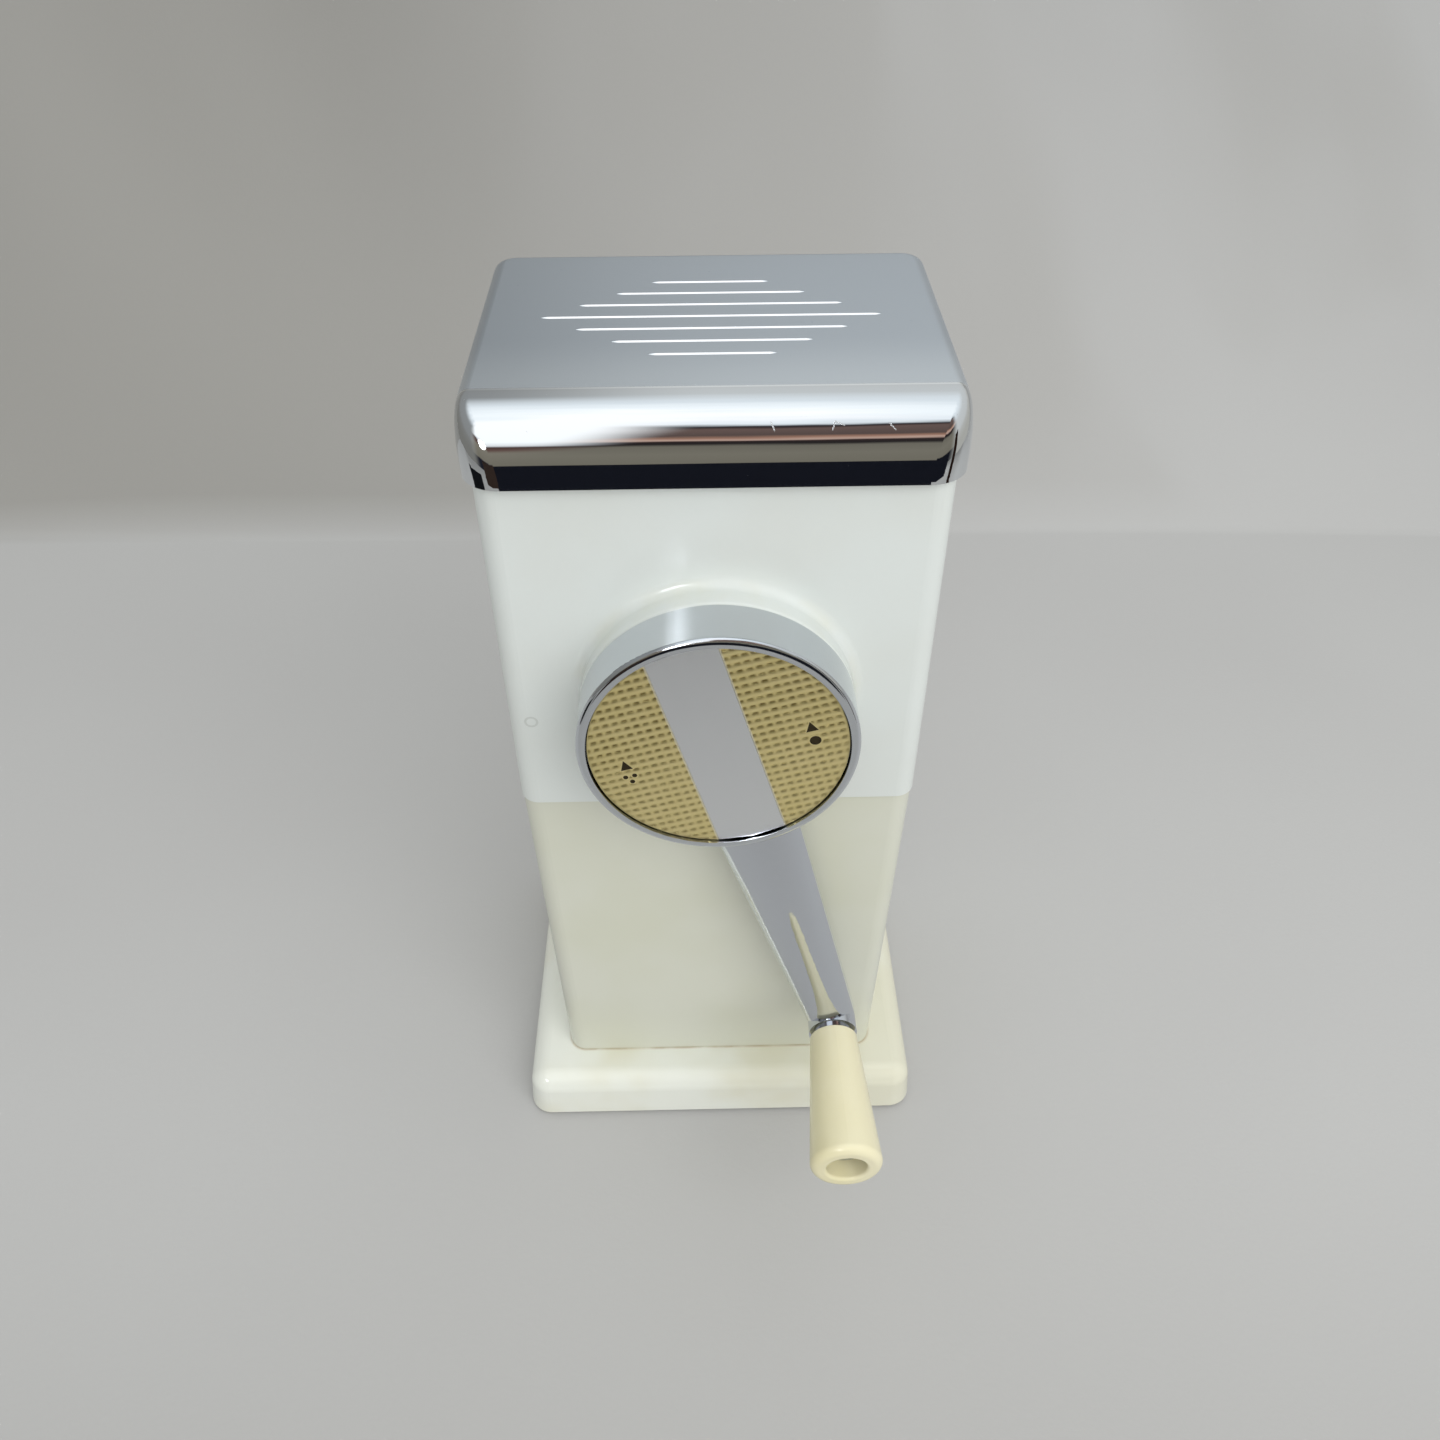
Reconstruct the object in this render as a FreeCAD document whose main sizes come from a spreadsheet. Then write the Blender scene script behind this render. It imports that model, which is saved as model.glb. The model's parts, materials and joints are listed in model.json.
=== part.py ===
import FreeCAD, Part
import os
import re
import Sketcher

# Hand crank ice crusher, in millimetres.  +Z is up and the crank faces -Y.
# The origin lies on the resting face, at the centre of the plinth's footprint.

Vector = FreeCAD.Vector
Rotation = FreeCAD.Rotation
Placement = FreeCAD.Placement

sizes = {
    # plinth with its rubber sole
    "base_margin_x": 13.95,
    "base_margin_y": 13.95,
    "base_draft": 4.5,
    "base_height": 17.8,
    "base_corner": 7.4,
    "base_top_round": 6.2,
    "base_foot_round": 0.8,
    "base_wall": 3.0,
    "sole_proud": 0.8,
    "sole_depth": 4.6,
    "sole_width": 6.0,
    # ice bin: tapered, fixed to the plinth, with a spigot for the housing
    "bin_step_x": 0.3,
    "bin_step_y": 0.75,
    "bin_taper_x": 2.75,
    "bin_taper_y": 0.6,
    "bin_wall": 2.5,
    "bin_corner": 5.5,
    "seam_height": 139.5,
    "spigot_height": 7.5,
    "spigot_wall": 2.2,
    "bin_screw_x": 38.0,
    "bin_screw_y": 29.0,
    "bin_boss_radius": 4.0,
    "bin_pad_radius": 5.0,
    "bin_pad_height": 4.0,
    # upper housing
    "housing_width": 107.4,
    "housing_depth": 86.5,
    "housing_height": 104.0,
    "housing_wall": 2.5,
    "housing_corner": 5.5,
    "corner_boss_radius": 4.0,
    "corner_boss_height": 16.0,
    "corner_boss_bite": 1.2,
    # round boss behind the crank hub
    "boss_rise": 0.9,
    "boss_radius": 34.0,
    "boss_depth": 7.75,
    "boss_wall": 2.5,
    "boss_root_round": 2.6,
    "boss_edge_round": 1.0,
    # lid: pressed shell with a bull nose along the front
    "lid_gap_x": 1.3,
    "lid_gap_y": 1.45,
    "lid_height": 16.0,
    "lid_overlap": 5.5,
    "lid_wall": 1.0,
    "lid_corner": 9.5,
    "lid_back_corner": 6.0,
    "lid_lip": 0.7,
    "lid_edge": 3.2,
    "groove_pitch": 6.72,
    "groove_width": 1.3,
    "groove_depth": 0.4,
    "groove_long": 80.9,
    "groove_step": 17.3,
    "groove_back": 5.72,
    # lid hinge
    "hinge_drop": 2.0,
    "knuckle_radius": 3.0,
    "hinge_pin_radius": 1.5,
    "pin_head_radius": 2.3,
    "pin_head_length": 0.8,
    "leaf_wall": 1.2,
    "leaf_width": 36.0,
    "leaf_margin": 1.0,
    "tongue_width": 15.8,
    "bracket_width": 40.0,
    "bracket_height": 21.0,
    "rivet_spread": 12.0,
    "rivet_radius": 1.6,
    "rivet_head_radius": 2.6,
    "rivet_head": 0.8,
    "rivet_tail": 0.6,
    # hopper under the lid
    "hopper_wall": 2.0,
    "mouth_inset": 4.4,
    "mouth_corner": 6.0,
    "throat_rise": 6.0,
    "spout_bite": 4.0,
    "spout_side_gap": 0.6,
    "spout_end_gap": 1.5,
    "spout_corner": 3.0,
    # cast crusher frame around the rotor
    "frame_wall": 3.0,
    "frame_corner": 3.5,
    "chamber_room": 11.75,
    "chamber_corner": 1.0,
    "frame_end_wall": 2.5,
    "room_below_blades": 2.0,
    "room_above_blades": 5.0,
    "bearing_wall": 3.0,
    "bearing_boss_wall": 4.0,
    "rear_boss_depth": 2.0,
    "post_spread": 15.0,
    "post_radius": 4.0,
    # combs, one on each side of the rotor
    "comb_wall": 2.5,
    "comb_height": 18.0,
    "comb_screw_gap": 1.4,
    "tooth_width": 4.4,
    "tooth_height": 5.0,
    "tooth_tip_gap": 2.0,
    "tooth_inset": 3.9,
    # rotor
    "journal_radius": 6.0,
    "rear_journal_radius": 4.0,
    "square_relief": 0.06,
    "blade_radius": 24.0,
    "blade_hub_radius": 9.5,
    "blade_spike": 3.6,
    "blade_heel": 6.6,
    "blade_wall": 2.5,
    "blade_gap": 1.5,
    "spacer_radius": 8.0,
    "tail_length": 3.0,
    "clip_wall": 1.0,
    "clip_radius": 6.5,
    "clip_slot": 4.6,
    "groove_bite": 0.8,
    # crank arm and hub
    "arm_angle": 16.0,
    "arm_length": 124.0,
    "arm_root_width": 25.3,
    "arm_tip_width": 14.6,
    "arm_edge": 1.6,
    "arm_tip_edge": 4.0,
    "arm_root_crown": 4.4,
    "arm_tip_crown": 5.3,
    "arm_start": 14.0,
    "arm_recess": 2.2,
    "arm_recess_margin": 2.2,
    "carrier_wall": 2.0,
    "hub_radius": 34.05,
    "hub_room": 0.85,
    "hub_wall": 1.2,
    "bezel_width": 2.35,
    "bezel_depth": 1.8,
    "hub_edge_round": 1.3,
    "washer_gap_depth": 3.15,
    "medallion_wall": 0.9,
    "band_width": 17.4,
    "band_wall": 0.5,
    "hub_washer_radius": 9.0,
    "hub_washer_wall": 1.2,
    "hub_screw_radius": 2.5,
    "hub_head_radius": 5.5,
    "hub_head": 2.8,
    "hub_screw_length": 12.0,
    # knob
    "knob_length": 42.4,
    "knob_near_radius": 7.1,
    "knob_far_radius": 10.4,
    "knob_near_round": 0.5,
    "knob_rim": 4.7,
    "knob_recess_depth": 8.0,
    "knob_pin_radius": 3.0,
    "knob_thread_radius": 2.5,
    "knob_head_radius": 5.0,
    "knob_head": 2.2,
    "knob_washer_radius": 5.6,
    "knob_washer_wall": 1.2,
    # small screws
    "screw_radius": 1.6,
    "screw_head_radius": 3.2,
    "screw_head": 1.8,
    "screw_length": 9.0,
    "bin_screw_head_radius": 6.2,
    # clearances
    "running_gap": 0.05,
    "fit_gap": 0.4,
    "hole_gap": 0.5,
    "end_gap": 0.35,
}

# Places and sizes that follow from the ones above.
formulas = {
    "bin_width": "(housing_width - 2 * bin_step_x)",
    "bin_depth": "(housing_depth - 2 * bin_step_y)",
    "bin_foot_width": "(bin_width - 2 * bin_taper_x)",
    "bin_foot_depth": "(bin_depth - 2 * bin_taper_y)",
    "base_width": "(bin_foot_width + 2 * base_margin_x)",
    "base_depth": "(bin_foot_depth + 2 * base_margin_y)",
    "sole_half_x": "(base_width / 2 - base_wall)",
    "sole_half_y": "(base_depth / 2 - base_wall)",
    "sole_corner": "(base_corner - base_wall)",
    "hollow_half_x": "(sole_half_x - sole_width)",
    "hollow_half_y": "(sole_half_y - sole_width)",
    "hollow_corner": "(sole_corner / 2)",
    "housing_top": "(seam_height + housing_height)",
    "axis_height": "(seam_height + boss_radius + boss_root_round + boss_rise)",
    "front_face": "(-housing_depth / 2)",
    "back_face": "(housing_depth / 2)",
    "lid_width": "(housing_width + 2 * (lid_wall + lid_gap_x))",
    "lid_depth": "(housing_depth + 2 * (lid_wall + lid_gap_y))",
    "lid_nose": "(lid_height - lid_lip)",
    "lid_bottom": "(housing_top - lid_overlap)",
    "lid_top": "(lid_bottom + lid_height)",
    "lid_back": "(lid_depth / 2)",
    "hinge_y": "(lid_back + knuckle_radius + running_gap)",
    "hinge_z": "(lid_bottom - hinge_drop)",
    "leaf_low": "(hinge_z + knuckle_radius + hole_gap)",
    "leaf_high": "(lid_top - lid_edge - leaf_margin)",
    "rivet_z": "((leaf_low + leaf_high) / 2)",
    "bracket_rivet_z": "(hinge_z - bracket_height / 2 - knuckle_radius)",
    "corner_boss_x": "(housing_width / 2 - housing_wall - corner_boss_radius + corner_boss_bite)",
    "corner_boss_y": "(housing_depth / 2 - housing_wall - corner_boss_radius + corner_boss_bite)",
    "chamber_half": "(blade_radius + blade_gap + comb_wall)",
    "frame_width": "(2 * (chamber_half + frame_wall))",
    "frame_low": "(axis_height - blade_radius - room_below_blades)",
    "frame_high": "(axis_height + blade_radius + room_above_blades)",
    "chamber_length": "(housing_depth - 2 * chamber_room)",
    "end_face": "(chamber_length / 2)",
    "blade_pitch": "((chamber_length - 2 * tooth_inset) / 6)",
    "comb_screw_y": "(2 * blade_pitch + tooth_width / 2 + comb_screw_gap)",
    "square_side": "(sqrt(2) * (journal_radius - square_relief))",
    "mouth_half_x": "(housing_width / 2 - housing_wall - mouth_inset)",
    "mouth_half_y": "(end_face - spout_end_gap)",
    "throat_half_x": "(chamber_half - spout_side_gap)",
    "throat_height": "(frame_high + throat_rise)",
    "spout_length": "(throat_rise + spout_bite)",
    "frame_front": "(-end_face - frame_end_wall)",
    "boss_front": "(front_face - boss_depth)",
    "boss_inside": "(boss_front + boss_wall)",
    "bearing_radius": "(journal_radius + running_gap + bearing_wall)",
    "rear_bearing_radius": "(rear_journal_radius + running_gap + bearing_wall)",
    "rear_boss_end": "(end_face + frame_end_wall + rear_boss_depth)",
    "shoulder": "(end_face - fit_gap)",
    "carrier_back": "(boss_front - end_gap - washer_gap_depth)",
    "carrier_front": "(carrier_back - carrier_wall)",
    "hub_depth": "(carrier_depth + hub_washer_wall + hub_head + hub_room + hub_wall + bezel_depth)",
    "carrier_depth": "(washer_gap_depth + carrier_wall)",
    "hub_back": "(boss_front - end_gap)",
    "hub_front": "(hub_back - hub_depth)",
    "hub_floor": "(hub_front + bezel_depth)",
    "hub_inner_radius": "(hub_radius - hub_wall)",
    "dial_radius": "(hub_radius - bezel_width - end_gap)",
    "dial_front": "(hub_floor - medallion_wall)",
    "knob_x": "(arm_length * sin(arm_angle))",
    "knob_z": "(axis_height - arm_length * cos(arm_angle))",
    "arm_tip_front": "(carrier_back - arm_tip_edge - arm_tip_crown - running_gap)",
    "knob_near": "(arm_tip_front - knob_washer_wall - end_gap)",
    "knob_far": "(knob_near - knob_length)",
    "knob_recess_radius": "(knob_far_radius - knob_rim)",
    "knob_end_round": "(knob_rim / 2)",
    "knob_mouth_round": "(knob_rim / 5)",
    "recess_floor": "(knob_far + knob_recess_depth)",
    "bin_floor": "(base_height + bin_wall)",
    "spigot_top": "(seam_height + spigot_height)",
    "spigot_half_x": "(housing_width / 2 - housing_wall - fit_gap)",
    "spigot_half_y": "(housing_depth / 2 - housing_wall - fit_gap)",
}

tiny = 0.001  # how near two lengths are when they count as equal

doc = FreeCAD.newDocument("ice_crusher")
sheet = doc.addObject("Spreadsheet::Sheet", "sizes")
for row, (name, number) in enumerate(sizes.items(), start=1):
    sheet.set("A%d" % row, name)
    sheet.set("B%d" % row, str(number))
    sheet.setAlias("B%d" % row, name)
doc.recompute()
nodes = []


def expand(text):
    """Turns the size and formula names in a text into references to the sheet."""

    def one(match):
        word = match.group(0)
        if word in formulas:
            return expand(formulas[word])
        return "sizes." + word if word in sizes else word

    return re.sub(r"[a-z_]+", one, text)


def value(text):
    return float(sheet.evalExpression(expand(text)))


def bind(thing, place, text):
    thing.setExpression(place, expand(text))


def keep(thing, name):
    """Names a finished sub-part and puts it on the list of nodes."""
    thing.Label = name
    nodes.append(thing)
    return thing


def new_body(name):
    return doc.addObject("PartDesign::Body", name)


def place(thing, x="0", y="0", z="0", axis=Vector(0, 0, 1), angle="0"):
    """Moves a sub-part to x, y, z and turns it about an axis, by formulas."""
    thing.Placement = Placement(Vector(), Rotation(axis, value(angle)))
    bind(thing, "Placement.Base.x", x)
    bind(thing, "Placement.Base.y", y)
    bind(thing, "Placement.Base.z", z)
    if angle != "0":
        bind(thing, "Placement.Rotation.Angle", angle)


def set_on_crank(body, along="0", turn=0):
    """Puts a piece on the crank's axis, turned with the arm as it hangs."""
    place(body, y=along, z="axis_height", axis=Vector(0, -1, 0), angle="arm_angle + %d" % turn)


def origin_part(body, role):
    return next(part for part in body.Origin.OriginFeatures if part.Role == role)


def plane_sketch(body, role, height="0"):
    """Makes a sketch on one of the body's own planes, lifted off it by a height."""
    sketch = body.newObject("Sketcher::SketchObject", body.Name + "_sketch")
    sketch.AttachmentSupport = [(origin_part(body, role), "")]
    sketch.MapMode = "FlatFace"
    bind(sketch, "AttachmentOffset.Base.z", height)
    return sketch


def fix(sketch, shape, point, x, y):
    """Holds one point of a sketch at x, y from the sketch's origin."""
    for kind, text in (("DistanceX", x), ("DistanceY", y)):
        rule = Sketcher.Constraint(kind, -1, 1, shape, point, value(text))
        number = sketch.addConstraint(rule)
        bind(sketch, "Constraints[%d]" % number, text)


def fix_radius(sketch, shape, radius):
    number = sketch.addConstraint(Sketcher.Constraint("Radius", shape, value(radius)))
    bind(sketch, "Constraints[%d]" % number, radius)


def join_ring(sketch, shapes):
    """Joins each line or arc to the next one, and the last one to the first."""
    for one, following in zip(shapes, shapes[1:] + shapes[:1]):
        sketch.addConstraint(Sketcher.Constraint("Coincident", one, 2, following, 1))


def draw_circle(sketch, radius, x="0", y="0"):
    circle = Part.Circle(Vector(value(x), value(y), 0), Vector(0, 0, 1), value(radius))
    shape = sketch.addGeometry(circle, False)
    fix(sketch, shape, 3, x, y)
    fix_radius(sketch, shape, radius)


def draw_outline(sketch, corners):
    """Draws a closed outline of straight lines through the corners."""
    points = [Vector(value(x), value(y), 0) for x, y in corners]
    sides = []
    for start, end in zip(points, points[1:] + points[:1]):
        sides.append(sketch.addGeometry(Part.LineSegment(start, end), False))
    join_ring(sketch, sides)
    for side, (x, y) in zip(sides, corners):
        fix(sketch, side, 1, x, y)


def draw_rectangle(sketch, half_x, half_y, x="0", y="0"):
    left, right = "(%s) - (%s)" % (x, half_x), "(%s) + (%s)" % (x, half_x)
    low, high = "(%s) - (%s)" % (y, half_y), "(%s) + (%s)" % (y, half_y)
    draw_outline(sketch, [(left, low), (right, low), (right, high), (left, high)])


def draw_rounded(sketch, half_x, half_y, radius):
    """Draws a rectangle about the origin with rounded corners."""
    short_x = "(%s) - (%s)" % (half_x, radius)
    short_y = "(%s) - (%s)" % (half_y, radius)
    minus = "-(%s)"
    ends = [
        (short_x, minus % half_y, half_x, minus % short_y, short_x, minus % short_y),
        (half_x, short_y, short_x, half_y, short_x, short_y),
        (minus % short_x, half_y, minus % half_x, short_y, minus % short_x, short_y),
        (minus % half_x, minus % short_y, minus % short_x, minus % half_y, minus % short_x, minus % short_y),
    ]
    arcs = []
    for x_one, y_one, x_two, y_two, x_mid, y_mid in ends:
        start = Vector(value(x_one), value(y_one), 0)
        end = Vector(value(x_two), value(y_two), 0)
        centre = Vector(value(x_mid), value(y_mid), 0)
        outward = (start + end) * 0.5 - centre
        middle = centre + outward.normalize() * value(radius)
        shape = sketch.addGeometry(Part.Arc(start, middle, end), False)
        fix(sketch, shape, 1, x_one, y_one)
        fix(sketch, shape, 2, x_two, y_two)
        fix_radius(sketch, shape, radius)
        arcs.append((shape, start, end))
    for (shape, _, end), (following, start, _) in zip(arcs, arcs[1:] + arcs[:1]):
        side = sketch.addGeometry(Part.LineSegment(end, start), False)
        sketch.addConstraint(Sketcher.Constraint("Coincident", shape, 2, side, 1))
        sketch.addConstraint(Sketcher.Constraint("Coincident", side, 2, following, 1))


def draw_crown(sketch, half_width, back, edge, crown):
    """Draws a flat-backed section whose front bulges towards -Y by the crown."""
    shoulder = "(%s) - (%s)" % (back, edge)
    radius = "((%s) ^ 2 + (%s) ^ 2) / (2 * (%s))" % (half_width, crown, crown)
    left, right = "-(%s)" % half_width, half_width
    low_left = Vector(value(left), value(shoulder), 0)
    low_right = Vector(value(right), value(shoulder), 0)
    top_left = Vector(value(left), value(back), 0)
    top_right = Vector(value(right), value(back), 0)
    apex = Vector(0, value(shoulder) - value(crown), 0)
    arc = sketch.addGeometry(Part.Arc(low_left, apex, low_right), False)
    rise = sketch.addGeometry(Part.LineSegment(low_right, top_right), False)
    across = sketch.addGeometry(Part.LineSegment(top_right, top_left), False)
    fall = sketch.addGeometry(Part.LineSegment(top_left, low_left), False)
    fix(sketch, arc, 1, left, shoulder)
    fix(sketch, arc, 2, right, shoulder)
    fix_radius(sketch, arc, radius)
    fix(sketch, across, 1, right, back)
    fix(sketch, across, 2, left, back)
    join_ring(sketch, [arc, rise, across, fall])


def draw_strip(sketch, half_width, radius):
    """Draws the part of a disc that lies within a band through its centre."""
    height = "sqrt((%s) ^ 2 - (%s) ^ 2)" % (radius, half_width)
    left, low = "-(%s)" % half_width, "-(%s)" % height
    corners = [(left, low), (half_width, low), (half_width, height), (left, height)]
    points = [Vector(value(x), value(y), 0) for x, y in corners]
    reach = value(radius)
    low_arc = sketch.addGeometry(Part.Arc(points[0], Vector(0, -reach, 0), points[1]), False)
    right_side = sketch.addGeometry(Part.LineSegment(points[1], points[2]), False)
    high_arc = sketch.addGeometry(Part.Arc(points[2], Vector(0, reach, 0), points[3]), False)
    left_side = sketch.addGeometry(Part.LineSegment(points[3], points[0]), False)
    for arc, start, end in ((low_arc, 0, 1), (high_arc, 2, 3)):
        fix(sketch, arc, 1, *corners[start])
        fix(sketch, arc, 2, *corners[end])
        fix_radius(sketch, arc, radius)
    join_ring(sketch, [low_arc, right_side, high_arc, left_side])


def pad(body, sketch, length, backwards=False, both_sides=False):
    made = body.newObject("PartDesign::Pad", body.Name + "_pad")
    made.Profile = sketch
    made.Reversed = backwards
    made.SideType = "Symmetric" if both_sides else "One side"
    bind(made, "Length", length)
    return made


def pocket(body, sketch, length, backwards=False, both_sides=False):
    """Cuts a sketch into the body and makes sure that material went away."""
    doc.recompute()
    before = body.Shape.Volume
    made = body.newObject("PartDesign::Pocket", body.Name + "_pocket")
    made.Profile = sketch
    made.Reversed = backwards
    made.SideType = "Symmetric" if both_sides else "One side"
    bind(made, "Length", length)
    doc.recompute()
    if not body.Shape.Volume < before:
        raise RuntimeError("a pocket of %s cuts nothing" % body.Name)
    return made


def loft(body, kind, sections):
    made = body.newObject("PartDesign::" + kind, body.Name + "_loft")
    made.Profile = sections[0]
    made.Sections = sections[1:]
    made.Ruled = True
    return made


def lean_sides(body, angle):
    """Makes the upright faces of the body lean inwards as they rise."""
    doc.recompute()
    base = body.Tip
    upright = [face.BoundBox.ZLength > tiny for face in base.Shape.Faces]
    made = body.newObject("PartDesign::Draft", body.Name + "_draft")
    made.Base = (base, ["Face%d" % (number + 1) for number, chosen in enumerate(upright) if chosen])
    made.NeutralPlane = (origin_part(body, "XY_Plane"), [""])
    bind(made, "Angle", angle)


def round_edges(body, radius, chosen):
    """Rounds the edges of the body for which chosen(edge) is true."""
    doc.recompute()
    base = body.Tip
    edges = ["Edge%d" % (number + 1) for number, edge in enumerate(base.Shape.Edges) if chosen(edge)]
    if not edges:
        raise RuntimeError("no edge of %s to round" % body.Name)
    made = body.newObject("PartDesign::Fillet", body.Name + "_fillet")
    made.Base = (base, edges)
    bind(made, "Radius", radius)
    return made


def level_edge(edge, height):
    """Tells whether an edge lies flat at a height."""
    box = edge.BoundBox
    return abs(box.ZMin - height) < tiny and abs(box.ZMax - height) < tiny


def round_ring(body, radius, along, ring_radius):
    """Rounds the circular edge of a given radius that lies at a distance along Y."""
    where, reach = value(along), value(ring_radius)

    def chosen(edge):
        if not isinstance(edge.Curve, Part.Circle):
            return False
        box = edge.BoundBox
        flat = abs(box.YMin - where) < tiny and abs(box.YMax - where) < tiny
        return flat and abs(edge.Curve.Radius - reach) < tiny

    round_edges(body, radius, chosen)


def turned(name, profile, x="0", y="0", z="axis_height", along="Y"):
    """Makes a turned body; its profile holds (distance along the axis, radius) corners."""
    turns = {
        "X": (Vector(0, 0, 1), "-90"),
        "Y": (Vector(0, 0, 1), "0"),
        "Z": (Vector(1, 0, 0), "90"),
    }
    body = new_body(name)
    sketch = plane_sketch(body, "YZ_Plane")
    draw_outline(sketch, profile)
    made = body.newObject("PartDesign::Revolution", name + "_turned")
    made.Profile = sketch
    made.ReferenceAxis = (sketch, ["H_Axis"])
    made.Angle = 360
    axis, angle = turns[along]
    place(body, x, y, z, axis, angle)
    return body


def sleeve(start, end, inner, outer):
    return [(start, inner), (end, inner), (end, outer), (start, outer)]


def headed(start, head_end, end, head_radius, radius):
    """Gives the profile of a screw or pin: its head first, then its shank."""
    return [
        (start, "0"),
        (start, head_radius),
        (head_end, head_radius),
        (head_end, radius),
        (end, radius),
        (end, "0"),
    ]


def group(name, pieces):
    """Joins identical fasteners into one sub-part of separate solids."""
    made = doc.addObject("Part::Compound", name)
    made.Links = pieces
    return keep(made, name)


def four_corners(x, y):
    return [("%s" % a, "%s" % b) for a in (x, "-" + x) for b in (y, "-" + y)]


def make_base():
    """Plinth: a hollow moulding with a rebate below for the rubber sole."""
    body = new_body("base_plinth")
    sketch = plane_sketch(body, "XY_Plane", "sole_proud")
    draw_rounded(sketch, "base_width / 2", "base_depth / 2", "base_corner")
    pad(body, sketch, "base_height - sole_proud")
    lean_sides(body, "base_draft")
    round_edges(body, "base_top_round", lambda edge: level_edge(edge, value("base_height")))
    round_edges(body, "base_foot_round", lambda edge: level_edge(edge, value("sole_proud")))
    rebate = plane_sketch(body, "XY_Plane", "sole_proud")
    draw_rounded(rebate, "sole_half_x", "sole_half_y", "sole_corner")
    pocket(body, rebate, "sole_depth - sole_proud", backwards=True)
    hollow = plane_sketch(body, "XY_Plane", "sole_depth")
    draw_rounded(hollow, "hollow_half_x", "hollow_half_y", "hollow_corner")
    pocket(body, hollow, "base_height - base_wall - sole_depth", backwards=True)
    holes = plane_sketch(body, "XY_Plane", "sole_depth")
    for x, y in four_corners("bin_screw_x", "bin_screw_y"):
        draw_circle(holes, "bin_boss_radius + fit_gap", x, y)
    pocket(body, holes, "base_height", backwards=True)
    keep(body, "base_plinth")

    sole = new_body("base_sole")
    sketch = plane_sketch(sole, "XY_Plane")
    draw_rounded(sketch, "sole_half_x - running_gap", "sole_half_y - running_gap", "sole_corner")
    draw_rounded(sketch, "hollow_half_x", "hollow_half_y", "hollow_corner")
    pad(sole, sketch, "sole_depth")
    keep(sole, "base_sole")


def make_bin():
    """Ice bin: tapered walls, a shoulder for the housing and a spigot inside it."""
    body = new_body("ice_bin")
    foot = plane_sketch(body, "XY_Plane", "base_height")
    draw_rounded(foot, "bin_foot_width / 2", "bin_foot_depth / 2", "bin_corner")
    shoulder = plane_sketch(body, "XY_Plane", "seam_height")
    draw_rounded(shoulder, "bin_width / 2", "bin_depth / 2", "bin_corner")
    loft(body, "AdditiveLoft", [foot, shoulder])
    spigot = plane_sketch(body, "XY_Plane", "seam_height")
    inner_corner = "housing_corner - housing_wall - fit_gap"
    draw_rounded(spigot, "spigot_half_x", "spigot_half_y", inner_corner)
    pad(body, spigot, "spigot_height")
    studs = plane_sketch(body, "XY_Plane", "base_height")
    for x, y in four_corners("bin_screw_x", "bin_screw_y"):
        draw_circle(studs, "bin_boss_radius", x, y)
    pad(body, studs, "base_wall - end_gap", backwards=True)
    low = plane_sketch(body, "XY_Plane", "bin_floor")
    corner = "bin_corner - bin_wall"
    draw_rounded(low, "bin_foot_width / 2 - bin_wall", "bin_foot_depth / 2 - bin_wall", corner)
    high = plane_sketch(body, "XY_Plane", "spigot_top")
    mouth_corner = "housing_corner - housing_wall - fit_gap - spigot_wall / 2"
    draw_rounded(high, "spigot_half_x - spigot_wall", "spigot_half_y - spigot_wall", mouth_corner)
    loft(body, "SubtractiveLoft", [low, high])
    pads = plane_sketch(body, "XY_Plane", "bin_floor")
    for x, y in four_corners("bin_screw_x", "bin_screw_y"):
        draw_circle(pads, "bin_pad_radius", x, y)
    pad(body, pads, "bin_pad_height")
    holes = plane_sketch(body, "XY_Plane", "base_height - base_wall")
    for x, y in four_corners("bin_screw_x", "bin_screw_y"):
        draw_circle(holes, "screw_radius + running_gap", x, y)
    pocket(body, holes, "screw_length", backwards=True)
    keep(body, "ice_bin")

    under = "base_height - base_wall"
    profile = headed(under + " - screw_head", under, under + " + screw_length - hole_gap",
                     "bin_screw_head_radius", "screw_radius")
    corners = four_corners("bin_screw_x", "bin_screw_y")
    group("bin_screws", [turned("bin_screw", profile, x, y, "0", "Z") for x, y in corners])


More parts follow.
